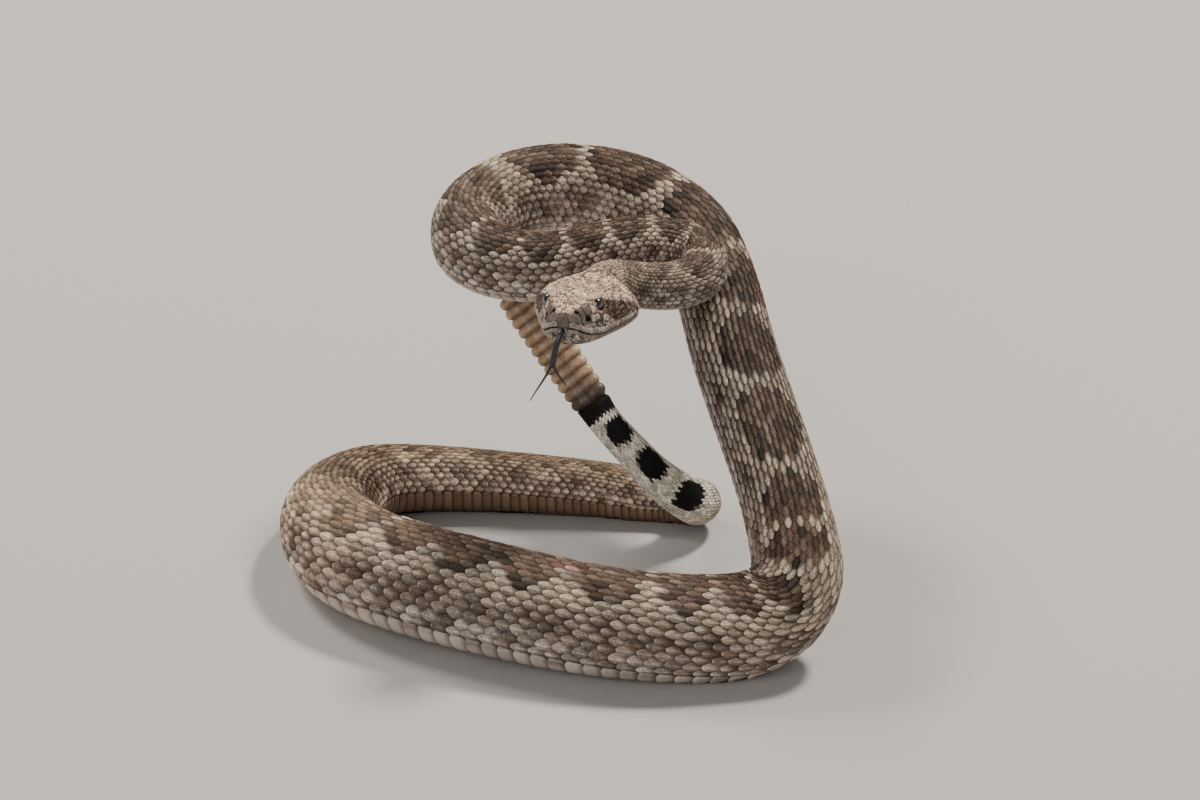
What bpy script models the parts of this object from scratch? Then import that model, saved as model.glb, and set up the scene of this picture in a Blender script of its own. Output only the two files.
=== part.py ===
"""Western diamondback rattlesnake, life size, in the raised strike pose, as a still model.

The whole animal hangs on one route: a curve down the middle of the body, from the back of the
head to the end of the tail. Each length of body, the head, the tail and the rattle is a closed
shape built from rings set square to that route. The forward coils and the head stand clear of
the floor, and the rest lies on it on small flats at z = 0.
"""

import math

import bmesh
import bpy
import numpy as np

MM = 0.001

# Driving sizes, in millimetres.
FOOT_MIDDLE = (-18.2, 26.1)
FLOOR = 0.0
FLOOR_PRESS = 1.35
SEAM = 0.3
RING_DEGREES = [0, 24, 47, 69, 90, 109, 127, 144, 162, 180, 198, 216, 233, 251, 270, 291, 313, 336]
SCUTE_LENGTH = 9.5
SCUTE_LIP = 0.5
SCUTE_RAISE = 0.5
FOLD_LIMIT = 0.86
MOST_TURN_PER_RING = 0.26

HEAD_LENGTH = 57.0
EYE_RADIUS = 2.9
EYE_BACK, EYE_OUT, EYE_UP = 15.3, 10.7, 7.1
PIT_RADIUS = 1.25
PIT_BACK, PIT_OUT, PIT_UP = 6.9, 10.2, 2.3
NOSTRIL_RADIUS = 0.8
NOSTRIL_BACK, NOSTRIL_OUT, NOSTRIL_UP = 3.3, 6.5, 6.3
LIP_SWELL = 0.4
BROW_RISE = 0.9

RATTLE_SEGMENTS = 12
RATTLE_PITCH = 5.05
RATTLE_HALF_HEIGHT = 10.1
RATTLE_HALF_WIDTH = 4.9
RATTLE_GROOVE = 0.16
RATTLE_SIDES = 16

# The route, from the back of the head to the tip of the tail. Each row is a place on the middle
# line (x, y, z), half the body's width, half its height, and the way its back faces there.
ROUTE = [
    # Neck, from the head to the tight bend.
    (0.0, 16.0, 144.0, 9.2, 9.6, (-0.01, 0.1, 1.0)),
    (2.2, 22.9, 142.9, 9.2, 9.7, (-0.01, 0.05, 1.0)),
    (5.6, 28.8, 140.7, 9.3, 9.9, (0.0, 0.0, 1.0)),
    (11.4, 32.8, 138.0, 9.5, 10.2, (0.0, 0.0, 1.0)),
    (21.0, 34.8, 135.7, 9.7, 10.5, (0.0, 0.0, 1.0)),
    (33.0, 34.8, 135.8, 9.9, 10.8, (0.0, 0.0, 1.0)),
    (42.5, 38.5, 137.5, 10.1, 11.1, (0.0, 0.0, 1.0)),
    (46.8, 47.5, 139.4, 10.3, 11.4, (0.0, 0.0, 1.0)),
    (43.0, 57.0, 141.4, 10.6, 11.7, (0.0, 0.0, 1.0)),
    # Near strand of the upper loop.
    (33.5, 60.8, 143.0, 10.9, 12.1, (0.0, 0.0, 1.0)),
    (20.0, 60.5, 144.0, 11.6, 12.8, (0.0, 0.0, 1.0)),
    (-1.0, 58.0, 140.5, 12.7, 14.2, (0.0, 0.0, 1.0)),
    (-26.6, 56.0, 134.4, 14.0, 15.6, (0.0, 0.0, 1.0)),
    (-48.0, 65.0, 134.0, 15.4, 17.2, (0.0, 0.0, 1.0)),
    (-60.8, 89.0, 134.4, 16.2, 18.4, (0.0, 0.0, 1.0)),
    # Far strand of the upper loop, over the top.
    (-49.4, 116.0, 137.2, 16.8, 19.4, (0.0, 0.0, 1.0)),
    (-24.8, 129.5, 138.5, 17.2, 20.2, (0.0, -0.05, 1.0)),
    (2.3, 129.0, 137.7, 17.2, 20.0, (0.1, -0.15, 1.0)),
    (24.7, 118.5, 135.0, 17.2, 19.4, (0.3, -0.35, 0.9)),
    (42.9, 99.0, 128.3, 17.6, 18.8, (0.5, -0.6, 0.65)),
    # The raised column.
    (52.0, 74.0, 116.7, 18.6, 18.4, (0.52, -0.75, 0.45)),
    (58.6, 41.0, 103.4, 19.2, 18.2, (0.48, -0.83, 0.3)),
    (67.8, 8.0, 88.0, 19.0, 18.2, (0.45, -0.87, 0.25)),
    (78.2, -25.0, 70.3, 18.8, 18.4, (0.42, -0.88, 0.25)),
    (84.8, -48.0, 52.8, 19.4, 19.2, (0.34, -0.86, 0.38)),
    # Right bend, down to the floor.
    (86.4, -57.5, 42.0, 20.2, 20.0, (0.24, -0.8, 0.55)),
    (82.0, -63.0, 32.0, 21.2, 20.8, (0.12, -0.7, 0.7)),
    (73.6, -66.5, 25.6, 22.2, 21.3, (0.05, -0.52, 0.86)),
    (61.5, -69.0, 21.6, 23.2, 22.0, (0.0, -0.35, 0.94)),
    # Front run on the floor.
    (30.6, -71.6, 22.0, 24.4, 22.7, (0.0, -0.15, 1.0)),
    (-4.4, -65.7, 22.8, 25.4, 23.6, (0.0, 0.0, 1.0)),
    (-39.5, -52.0, 23.4, 26.4, 24.2, (0.0, 0.1, 1.0)),
    (-74.9, -33.8, 23.7, 26.8, 24.6, (-0.05, 0.2, 0.97)),
    (-105.0, -11.7, 22.9, 25.6, 23.8, (-0.1, 0.25, 0.96)),
    # Left bend.
    (-120.9, 21.9, 20.6, 22.6, 21.4, (-0.15, 0.25, 0.95)),
    (-118.5, 58.0, 17.7, 19.6, 18.4, (-0.15, 0.3, 0.95)),
    (-104.0, 77.5, 16.1, 17.8, 16.8, (-0.05, 0.4, 0.92)),
    # Rear run.
    (-83.7, 83.4, 14.8, 16.4, 15.5, (0.0, 0.45, 0.9)),
    (-56.5, 83.8, 13.7, 15.0, 14.4, (0.0, 0.5, 0.87)),
    (-27.1, 81.8, 12.7, 13.8, 13.4, (0.0, 0.45, 0.9)),
    (2.3, 77.8, 11.9, 12.6, 12.6, (0.0, 0.38, 0.92)),
    (20.0, 74.5, 11.1, 11.6, 11.7, (0.1, 0.25, 0.96)),
    # The turn at the root of the tail, then the tail rising behind the neck.
    (31.5, 72.5, 10.7, 10.9, 11.2, (0.35, 0.2, 0.9)),
    (40.6, 68.4, 11.4, 10.4, 10.9, (0.65, 0.05, 0.75)),
    (44.4, 59.8, 14.6, 10.0, 10.6, (0.8, -0.15, 0.6)),
    (41.6, 51.0, 20.4, 9.7, 10.3, (0.6, -0.5, 0.6)),
    (35.4, 46.2, 26.8, 9.4, 10.1, (0.3, -0.7, 0.62)),
    (28.6, 44.2, 33.2, 8.8, 9.4, (0.16, -0.74, 0.66)),
    (21.6, 44.2, 40.4, 7.9, 8.4, (0.29, -0.62, 0.73)),
    (13.9, 47.4, 48.0, 7.4, 7.9, (0.36, -0.54, 0.75)),
    (5.6, 52.4, 55.4, 7.0, 7.7, (0.43, -0.47, 0.77)),
    (0.6, 56.4, 60.2, 6.2, 8.0, (0.56, -0.2, 0.74)),
    # The swollen black base of the rattle.
    (-3.6, 59.8, 65.4, 5.5, 8.5, (0.72, 0.06, 0.68)),
]
RATTLE_END = (-38.5, 88.0, 107.2)

# Names of the lengths of body and tail, with the row of the route where each begins.
LENGTHS = [
    ("neck", 0, "neck"),
    ("neck_bend", 6, "neck"),
    ("upper_near_strand", 9, "body"),
    ("upper_left_turn_near", 12, "body"),
    ("upper_left_turn_far", 14, "body"),
    ("upper_far_strand", 16, "body"),
    ("upper_right_turn", 18, "body"),
    ("column_upper", 20, "body"),
    ("column_lower", 22, "body"),
    ("right_bend", 24, "body"),
    ("front_run_right", 28, "body"),
    ("front_run_left", 31, "body"),
    ("left_bend_front", 33, "body"),
    ("left_bend_rear", 35, "body"),
    ("rear_run", 37, "body"),
    ("rear_run_end", 40, "body"),
    ("tail_root", 43, "tail"),
    ("tail", 47, "tail"),
]

# The head's outline, by distance back from the snout: half the width at the lip, the crown's
# height, the chin's height and the mouth line's height, all above the rostral's lower edge.
HEAD_BACK = [0, 0.8, 3, 6, 10, 15, 20, 26, 32, 37, 42, 47, 51, 54, 57]
HEAD_HALF = [3.6, 6.0, 8.6, 10.6, 12.8, 14.9, 16.9, 19.8, 22.4, 23.4, 22.2, 18.2, 13.8, 10.8, 9.2]
HEAD_CROWN = [4.6, 6.2, 7.8, 9.0, 10.2, 10.8, 10.9, 10.6, 10.2, 9.9, 9.7, 9.6, 9.6, 9.6, 9.6]
HEAD_CHIN = [-3.8, -5.6, -7.9, -9.6, -10.6, -11.0, -11.0, -10.9, -10.8, -10.6, -10.4, -10.1, -9.9, -9.7, -9.6]
HEAD_MOUTH = [0, -0.6, -2.2, -3.8, -4.9, -5.5, -5.5, -4.7, -3.6, -2.6, -1.8, -1.1, -0.6, -0.3, 0]
HEAD_LEAN = [0.22, 0.28, 0.30, 0.28, 0.23, 0.17, 0.15, 0.15, 0.15, 0.15, 0.13, 0.09, 0.05, 0.02, 0]
HEAD_SQUARE = [2.4, 2.8, 3.8, 4.8, 5.6, 5.6, 4.4, 3.2, 2.8, 2.7, 2.5, 2.3, 2.15, 2.1, 2.1]
JAW_TUCK = [0.80, 0.84, 0.90, 0.93, 0.94, 0.95, 0.95, 0.96, 0.97, 0.98, 0.99, 1, 1, 1, 1]
BODY_SQUARE_TOP = 2.1
BODY_SQUARE_BELLY = 2.4

# Colours are linear, from the photograph.
COLOURS = {
    "neck": (0.30, 0.22, 0.16),
    "body": (0.34, 0.26, 0.19),
    "tail": (0.55, 0.50, 0.42),
    "head": (0.36, 0.27, 0.20),
    "eye": (0.03, 0.03, 0.035),
    "tongue": (0.01, 0.01, 0.012),
    "rattle": (0.42, 0.25, 0.11),
}
ROUGHNESS = {"eye": 0.12, "tongue": 0.35, "rattle": 0.4}


def clear_scene():
    for thing in list(bpy.data.objects):
        bpy.data.objects.remove(thing, do_unlink=True)


def material_of(slot):
    """The Principled material of one slot, made the first time it is asked for."""
    found = bpy.data.materials.get(slot)
    if found:
        return found
    made = bpy.data.materials.new(slot)
    made.use_nodes = True
    shader = made.node_tree.nodes["Principled BSDF"]
    shader.inputs["Base Color"].default_value = (*COLOURS[slot], 1.0)
    shader.inputs["Roughness"].default_value = ROUGHNESS.get(slot, 0.62)
    shader.inputs["Metallic"].default_value = 0.0
    return made


def unit(vectors):
    return vectors / np.linalg.norm(vectors, axis=-1, keepdims=True)


def smooth_line(rows, steps=16, passes=40):
    """A centripetal Catmull-Rom curve through the rows, sampled and then softened a little."""
    ends = np.vstack([2 * rows[0] - rows[1], rows, 2 * rows[-1] - rows[-2]])
    knots = np.sqrt(np.linalg.norm(np.diff(ends[:, :3], axis=0), axis=1))
    samples = []
    for i in range(1, len(ends) - 2):
        p0, p1, p2, p3 = ends[i - 1 : i + 3]
        d0, d1, d2 = knots[i - 1 : i + 2]
        slope1 = d1 * ((p1 - p0) / d0 - (p2 - p0) / (d0 + d1) + (p2 - p1) / d1)
        slope2 = d1 * ((p2 - p1) / d1 - (p3 - p1) / (d1 + d2) + (p3 - p2) / d2)
        for t in np.arange(steps) / steps:
            samples.append(
                (2 * t**3 - 3 * t**2 + 1) * p1
                + (t**3 - 2 * t**2 + t) * slope1
                + (3 * t**2 - 2 * t**3) * p2
                + (t**3 - t**2) * slope2
            )
    line = np.array(samples + [ends[-2]])
    for _ in range(passes):
        line[1:-1] = 0.25 * line[:-2] + 0.5 * line[1:-1] + 0.25 * line[2:]
    return line


class Route:
    """The sampled route: place, frame, size and bending at any distance from the head."""

    def __init__(self, rows, steps=16):
        table = np.array([[*row[:5], *row[5]] for row in rows], float)
        line = smooth_line(table, steps)
        self.place = line[:, :3]
        self.half = line[:, 3:5]
        self.back_hint = line[:, 5:]
        lengths = np.linalg.norm(np.diff(self.place, axis=0), axis=1)
        self.along = np.concatenate([[0.0], np.cumsum(lengths)])
        self.row_at = self.along[::steps]
        self.tangent = unit(np.gradient(self.place, self.along, axis=0))
        self.bending = np.gradient(self.tangent, self.along, axis=0)

    def read(self, values, s):
        return np.array([np.interp(s, self.along, column) for column in values.T])

    def frame(self, s):
        """Place, tailward tangent, back and left side directions at distance s."""
        tangent = unit(self.read(self.tangent, s))
        hint = self.read(self.back_hint, s)
        back = unit(hint - (hint @ tangent) * tangent)
        left = np.cross(tangent, back)
        return self.read(self.place, s), tangent, back, left


ROUTE_LINE = Route(ROUTE)
TAIL_TIP = ROUTE_LINE.along[-1]


def half_ring(angle, half_width, half_height, square):
    """Sideways and upward offsets on a squared-off ellipse, for angles from the back."""
    side, up = np.sin(angle), np.cos(angle)
    power = 2.0 / square
    across = np.sign(side) * half_width * np.abs(side) ** power
    return across, np.sign(up) * half_height * np.abs(up) ** power


def body_offsets(angle, half_width, half_height, raise_belly):
    """Ring offsets of the body: round back, flatter belly with its scutes raised."""
    top = half_ring(angle, half_width, half_height, BODY_SQUARE_TOP)
    belly = half_ring(angle, half_width, half_height * 0.96, BODY_SQUARE_BELLY)
    below = np.cos(angle) < 0
    across = np.where(below, belly[0], top[0])
    upward = np.where(below, belly[1], top[1])
    scute = np.clip((-np.cos(angle) - 0.45) / 0.2, 0, 1)
    return across * (1 + 0.1 * scute * raise_belly / half_width), upward - scute * raise_belly


def ring_at(s, angles, raise_belly=0.0):
    """Points of the body's ring at distance s, pressed flat in a fold and on the floor."""
    place, tangent, back, left = ROUTE_LINE.frame(s)
    half_width, half_height = ROUTE_LINE.read(ROUTE_LINE.half, s)
    across, upward = body_offsets(angles, half_width, half_height, raise_belly)
    offsets = np.outer(across, left) + np.outer(upward, back)
    bend = ROUTE_LINE.read(ROUTE_LINE.bending, s)
    bend = bend - (bend @ tangent) * tangent
    inward = offsets @ bend
    excess = np.maximum(inward - FOLD_LIMIT, 0.0) / max(bend @ bend, 1e-12)
    points = place + offsets - np.outer(excess, bend)
    points[points[:, 2] < FLOOR + FLOOR_PRESS, 2] = FLOOR
    return points


def scute_raise(s):
    """How far the belly scutes stand out at distance s: each rises to its tailward edge."""
    part = s % SCUTE_LENGTH
    body = SCUTE_LENGTH - SCUTE_LIP
    return SCUTE_RAISE * (part / body if part < body else (SCUTE_LENGTH - part) / SCUTE_LIP)


def ring_stations(start, end):
    """Distances of the rings between two ends: both edges of each scute, more in a bend."""
    edges = [start]
    first = math.ceil((start + 0.6) / SCUTE_LENGTH) * SCUTE_LENGTH
    for edge in np.arange(first, end + SCUTE_LIP, SCUTE_LENGTH):
        for s in (edge - SCUTE_LIP, edge):
            if start + 0.6 < s < end - 0.6:
                edges.append(s)
    edges.append(end)
    stations = [start]
    for a, b in zip(edges[:-1], edges[1:]):
        bend = np.linalg.norm(ROUTE_LINE.read(ROUTE_LINE.bending, (a + b) / 2))
        parts = max(1, math.ceil((b - a) * bend / MOST_TURN_PER_RING))
        stations.extend(a + (b - a) * (k + 1) / parts for k in range(parts))
    return stations


def mesh_object(name, slot, points, faces):
    """A smooth-shaded object from points in millimetres."""
    mesh = bpy.data.meshes.new(name)
    middle = np.array([*FOOT_MIDDLE, FLOOR])
    mesh.from_pydata([tuple(p * MM) for p in points - middle], [], faces)
    mesh.validate()
    shape = bmesh.new()
    shape.from_mesh(mesh)
    bmesh.ops.recalc_face_normals(shape, faces=shape.faces)
    bmesh.ops.triangulate(shape, faces=[f for f in shape.faces if len(f.verts) > 4])
    shape.to_mesh(mesh)
    shape.free()
    mesh.shade_smooth()
    mesh.materials.append(material_of(slot))
    made = bpy.data.objects.new(name, mesh)
    bpy.context.scene.collection.objects.link(made)
    return made


def rings_object(name, slot, rings):
    """One closed object over a list of rings with the same number of points."""
    count = len(rings[0])
    points = np.vstack(rings)
    faces = []
    for r in range(len(rings) - 1):
        for k in range(count):
            a, b = r * count + k, r * count + (k + 1) % count
            faces.append((a, b, b + count, a + count))
    last = (len(rings) - 1) * count
    faces.append(tuple(reversed(range(count))))
    faces.append(tuple(range(last, last + count)))
    return mesh_object(name, slot, points, faces)


def body_length(name, slot, start, end):
    angles = np.radians(RING_DEGREES)
    rings = [ring_at(s, angles, scute_raise(s)) for s in ring_stations(start, end)]
    return rings_object(name, slot, rings)


def head_frame():
    """The snout's place and the head's backward, upward and left directions."""
    place, tangent, back, left = ROUTE_LINE.frame(0.0)
    return place - HEAD_LENGTH * tangent, tangent, back, left


def head_world(u, v, w):
    snout, backward, upward, left = head_frame()
    return snout + np.outer(u, backward) + np.outer(v, left) + np.outer(w, upward)


def head_row(table, u):
    """A value of one of the head's tables at distance u, along a smooth curve."""
    xs, ys = np.array(HEAD_BACK, float), np.array(table, float)
    slopes = np.gradient(ys, xs)
    i = int(np.clip(np.searchsorted(xs, u) - 1, 0, len(xs) - 2))
    width = xs[i + 1] - xs[i]
    t = (u - xs[i]) / width
    return (
        (2 * t**3 - 3 * t**2 + 1) * ys[i]
        + (t**3 - 2 * t**2 + t) * width * slopes[i]
        + (3 * t**2 - 2 * t**3) * ys[i + 1]
        + (t**3 - t**2) * width * slopes[i + 1]
    )


def bump(distance, reach):
    return np.exp(-((distance / reach) ** 2))


def head_ring(u, angles, gap=SEAM / 2):
    """Head surface at distance u: (v, w) for angles from the crown, 90 degrees at the lip."""
    half, mouth = head_row(HEAD_HALF, u), head_row(HEAD_MOUTH, u)
    crown, chin = head_row(HEAD_CROWN, u), head_row(HEAD_CHIN, u)
    lean, square = head_row(HEAD_LEAN, u), head_row(HEAD_SQUARE, u)
    tuck = head_row(JAW_TUCK, u)
    side, up = np.sin(angles), np.cos(angles)
    above = up > -1e-9
    height = np.abs(up) ** (2 / np.where(above, square, 2.3))
    across = np.sign(side) * half * np.abs(side) ** (2 / np.where(above, square, 2.3))
    v = across * np.where(above, 1 - lean * height, tuck)
    w = np.where(above, mouth + gap + (crown - mouth - gap) * height, mouth - gap)
    w = np.where(above, w, w + (chin - mouth + gap) * height)
    # The brow plate over each eye, the hollow between the brows and the hollow round each eye.
    out = np.abs(v)
    brow = bump(u - EYE_BACK - 1.0, 4.6) * bump(out - 11.6, 2.2) * above * (height > 0.5)
    hollow = bump(u - EYE_BACK, 7.0) * bump(v, 5.0) * above
    behind_snout = np.clip(u / 3.0, 0, 1) * np.clip((44 - u) / 8.0, 0, 1)
    lip = bump(w - mouth - np.where(above, 1.7, -1.5), 1.1) * behind_snout
    eye_ring = bump(u - EYE_BACK, 3.4) * bump(w - EYE_UP + 0.6, 2.6) * above * (out > 8)
    w = w + BROW_RISE * brow - 0.5 * hollow * (height > 0.7)
    v = v + np.sign(v) * (0.5 * brow + LIP_SWELL * lip - 1.2 * eye_ring * (height < 0.93))
    return v, w


def head_half(name, slot, angles, stations):
    """The upper head or the lower jaw: half rings closed along the mouth."""
    rings = []
    for u in stations:
        v, w = head_ring(u, angles)
        rings.append(head_world(np.full(len(angles), u), v, w))
    return rings_object(name, slot, rings)


def ball(name, centre, radius, stretch=(1.0, 1.0, 1.0), segments=16, rings=10):
    """A ball set in the head's frame, stretched along backward, left and upward."""
    _, backward, upward, left = head_frame()
    points = []
    for i in range(1, rings):
        polar = math.pi * i / rings
        for k in range(segments):
            turn = 2 * math.pi * k / segments
            local = (math.sin(polar) * math.cos(turn), math.sin(polar) * math.sin(turn), math.cos(polar))
            points.append(local)
    points = np.array(points + [(0, 0, 1), (0, 0, -1)]) * radius * np.array(stretch)
    world = centre + points[:, :1] * backward + points[:, 1:2] * left + points[:, 2:] * upward
    faces = []
    for i in range(rings - 2):
        for k in range(segments):
            a, b = i * segments + k, i * segments + (k + 1) % segments
            faces.append((a, b, b + segments, a + segments))
    top, bottom, last = len(points) - 2, len(points) - 1, (rings - 2) * segments
    for k in range(segments):
        faces.append((top, (k + 1) % segments, k))
        faces.append((bottom, last + k, last + (k + 1) % segments))
    return mesh_object(name, "eye", world, faces)


def boolean(target, others, operation):
    """Unite or cut with a list of objects, apply it, remove them and keep the largest surface."""
    group = bpy.data.collections.new(target.name + "_operands")
    bpy.context.scene.collection.children.link(group)
    for other in others:
        group.objects.link(other)
        bpy.context.scene.collection.objects.unlink(other)
    change = target.modifiers.new("fuse", "BOOLEAN")
    change.operation = operation
    change.operand_type = "COLLECTION"
    change.collection = group
    change.solver = "EXACT"
    graph = bpy.context.evaluated_depsgraph_get()
    result = bpy.data.meshes.new_from_object(target.evaluated_get(graph))
    target.modifiers.clear()
    target.data = result
    for other in others:
        bpy.data.objects.remove(other, do_unlink=True)
    bpy.data.collections.remove(group)
    keep_largest(target)


def keep_largest(target):
    """Drops all but the largest closed surface of an object."""
    shape = bmesh.new()
    shape.from_mesh(target.data)
    left_over = set(shape.verts)
    groups = []
    while left_over:
        group, edge = set(), [left_over.pop()]
        while edge:
            vertex = edge.pop()
            group.add(vertex)
            for link in vertex.link_edges:
                other = link.other_vert(vertex)
                if other in left_over:
                    left_over.discard(other)
                    edge.append(other)
        groups.append(group)
    groups.sort(key=len)
    scraps = [vertex for group in groups[:-1] for vertex in group]
    bmesh.ops.delete(shape, geom=scraps, context="VERTS")
    shape.to_mesh(target.data)
    shape.free()


def swept(name, slot, path, half_sizes, flat_way, sides=10):
    """A closed tube along a path of points, half_sizes giving its two half thicknesses."""
    path = np.array(path, float)
    tangents = unit(np.gradient(path, axis=0))
    angles = np.arange(sides) * 2 * math.pi / sides
    rings = []
    for point, tangent, (wide, thin) in zip(path, tangents, half_sizes):
        across = unit(flat_way - (flat_way @ tangent) * tangent)
        normal = np.cross(tangent, across)
        rings.append(point + np.outer(np.cos(angles) * wide, across) + np.outer(np.sin(angles) * thin, normal))
    return rings_object(name, slot, rings)


def bezier(points, count):
    """Points along a cubic curve with four control points."""
    p0, p1, p2, p3 = (np.array(p, float) for p in points)
    t = np.linspace(0, 1, count)[:, None]
    return (1 - t) ** 3 * p0 + 3 * (1 - t) ** 2 * t * p1 + 3 * (1 - t) * t**2 * p2 + t**3 * p3


def head_point(u, v, w):
    return head_world(np.array([u]), np.array([v]), np.array([w]))[0]


TONGUE_ROOT = head_point(1.6, 0.0, -0.6)
TONGUE_LIP = head_point(-1.6, 0.0, -0.9)
TONGUE_FORK = TONGUE_ROOT + np.array([-5.2, -4.6, -17.0])
LEFT_TINE = TONGUE_FORK + np.array([-9.7, -1.0, -15.6])
RIGHT_TINE = TONGUE_FORK + np.array([6.0, 0.5, -9.0])
TONGUE_HALF_WIDTH = 1.35
TONGUE_HALF_THICK = 0.65
TINE_HALF = 0.75
TINE_TIP_HALF = 0.28


def make_tongue():
    """The flat stem hangs from the notch in the lip and forks into two tapering tines."""
    across = np.array([1.0, 0.0, 0.0])
    bend = TONGUE_LIP + (TONGUE_LIP - TONGUE_ROOT)
    stem_path = bezier((TONGUE_ROOT, bend, TONGUE_FORK + np.array([0.8, -0.6, 9.0]), TONGUE_FORK), 12)
    widths = np.interp(np.linspace(0, 1, 12), [0, 0.7, 1], [1.0, 1.0, 1.15])
    stem = swept("tongue", "tongue", stem_path, [(TONGUE_HALF_WIDTH * k, TONGUE_HALF_THICK) for k in widths], across)
    tines = []
    for side, tip in ((-1, LEFT_TINE), (1, RIGHT_TINE)):
        start = TONGUE_FORK + np.array([side * 0.65, 0.0, 1.2])
        knee = start + np.array([side * 0.8, 0.0, -4.0])
        path = bezier((start, knee, start + 0.6 * (tip - start), tip), 9)
        sizes = [(k, k * 0.8) for k in np.linspace(TINE_HALF, TINE_TIP_HALF, 9)]
        tines.append(swept("tine", "tongue", path, sizes, across, 8))
    boolean(stem, tines, "UNION")
    return stem


def make_notch_cutter():
    """A ball over the tongue's root, which opens the notch in the lips round it."""
    centre = head_point(0.2, 0.0, -0.75)
    return ball("notch", centre, 1.0, (2.1, 1.85, 1.15), 14, 8)


def make_head():
    dense = [0, 0.35, 0.8, 1.6, 2.6, 3.8, 5.2, 6.8, 8.4, 10, 11.4, 12.8, 14.2, 15.6, 17, 18.4, 20, 22]
    stations = dense + [24.5, 27, 30, 33, 36, 39, 42, 45, 48, 51, 53.5, HEAD_LENGTH - SEAM / 2]
    from_lip = [0, 0.6, 2, 5, 9, 14, 20, 28, 37, 48, 60, 70, 80]
    upper = np.radians([a - 90 for a in from_lip] + [0] + [90 - a for a in reversed(from_lip)])
    lower = np.radians(np.linspace(90, 270, 15))
    head = head_half("head", "head", upper, stations)
    jaw = head_half("lower_jaw", "head", lower, stations[1:])
    cutters = []
    for side in (-1, 1):
        eye_centre = head_point(EYE_BACK, side * EYE_OUT, EYE_UP)
        cutters.append(ball("socket", eye_centre, EYE_RADIUS + SEAM))
        pit_centre = head_point(PIT_BACK, side * PIT_OUT, PIT_UP)
        cutters.append(ball("pit", pit_centre, PIT_RADIUS, segments=10, rings=7))
        nostril_centre = head_point(NOSTRIL_BACK, side * NOSTRIL_OUT, NOSTRIL_UP)
        cutters.append(ball("nostril", nostril_centre, NOSTRIL_RADIUS, segments=8, rings=6))
        name = "eye_left" if side > 0 else "eye_right"
        ball(name, eye_centre, EYE_RADIUS)
    cutters.append(make_notch_cutter())
    boolean(head, cutters, "DIFFERENCE")
    boolean(jaw, [make_notch_cutter()], "DIFFERENCE")
    make_tongue()


def make_lengths():
    starts = [ROUTE_LINE.row_at[row] for _, row, _ in LENGTHS] + [TAIL_TIP]
    for i, (name, _, slot) in enumerate(LENGTHS):
        body_length(name, slot, starts[i] + SEAM / 2, starts[i + 1] - SEAM / 2)


def rattle_outline(phase):
    """How wide a segment is along its length: pinched between segments, full at its middle."""
    return 0.80 + 0.20 * math.sin(math.pi * phase) ** 0.6


def make_rattle():
    """Interlocking horn segments, each taller than wide and grooved along both sides."""
    place, _, back, _ = ROUTE_LINE.frame(TAIL_TIP)
    axis = unit(np.array(RATTLE_END) - place)
    angles = np.arange(RATTLE_SIDES) * 2 * math.pi / RATTLE_SIDES
    tall = unit(back - (back @ axis) * axis)
    wide = np.cross(axis, tall)
    groove = 1 - RATTLE_GROOVE * bump(np.cos(angles), 0.35)
    phases = [0.0, 0.16, 0.42, 0.72, 0.92]
    rings = []
    for segment in range(RATTLE_SEGMENTS):
        size = float(np.interp(segment, [0, 2, 5, 10, 12], [0.91, 0.95, 1.0, 1.0, 0.93]))
        for phase in phases:
            reach = (segment + phase) * RATTLE_PITCH + SEAM
            half = size * rattle_outline(phase)
            up = np.cos(angles) * RATTLE_HALF_HEIGHT * half
            across = np.sin(angles) * RATTLE_HALF_WIDTH * half * groove
            rings.append(place + reach * axis + np.outer(up, tall) + np.outer(across, wide))
    reach = RATTLE_SEGMENTS * RATTLE_PITCH + SEAM
    for half, extra in ((0.7, 0.0), (0.35, 0.7)):
        up = np.cos(angles) * RATTLE_HALF_HEIGHT * half
        across = np.sin(angles) * RATTLE_HALF_WIDTH * half
        rings.append(place + (reach + extra) * axis + np.outer(up, tall) + np.outer(across, wide))
    rings_object("rattle", "rattle", rings)


clear_scene()
make_head()
make_lengths()
make_rattle()
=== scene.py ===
"""Western diamondback rattlesnake: the skin, scales, eyes, tongue and rattle over the solids."""

import math

import bmesh
import bpy
import numpy as np
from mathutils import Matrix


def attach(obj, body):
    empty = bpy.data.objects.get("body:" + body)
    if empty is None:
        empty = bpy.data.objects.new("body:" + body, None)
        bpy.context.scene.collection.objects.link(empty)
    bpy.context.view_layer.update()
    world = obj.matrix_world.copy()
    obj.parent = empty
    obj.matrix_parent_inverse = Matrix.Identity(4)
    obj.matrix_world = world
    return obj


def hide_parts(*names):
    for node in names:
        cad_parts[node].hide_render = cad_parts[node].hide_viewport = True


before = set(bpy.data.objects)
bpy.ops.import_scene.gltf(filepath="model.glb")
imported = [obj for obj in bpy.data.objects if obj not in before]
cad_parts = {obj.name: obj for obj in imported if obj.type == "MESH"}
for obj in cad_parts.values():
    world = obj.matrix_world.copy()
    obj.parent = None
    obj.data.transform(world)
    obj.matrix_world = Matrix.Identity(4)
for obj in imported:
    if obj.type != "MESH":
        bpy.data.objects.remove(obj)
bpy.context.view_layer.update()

# The route and the surface
# The same middle line as the solids: a place, half the width, half the height and the way the
# back faces, from the back of the head to the tip of the tail, in millimetres.
MM = 0.001
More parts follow.
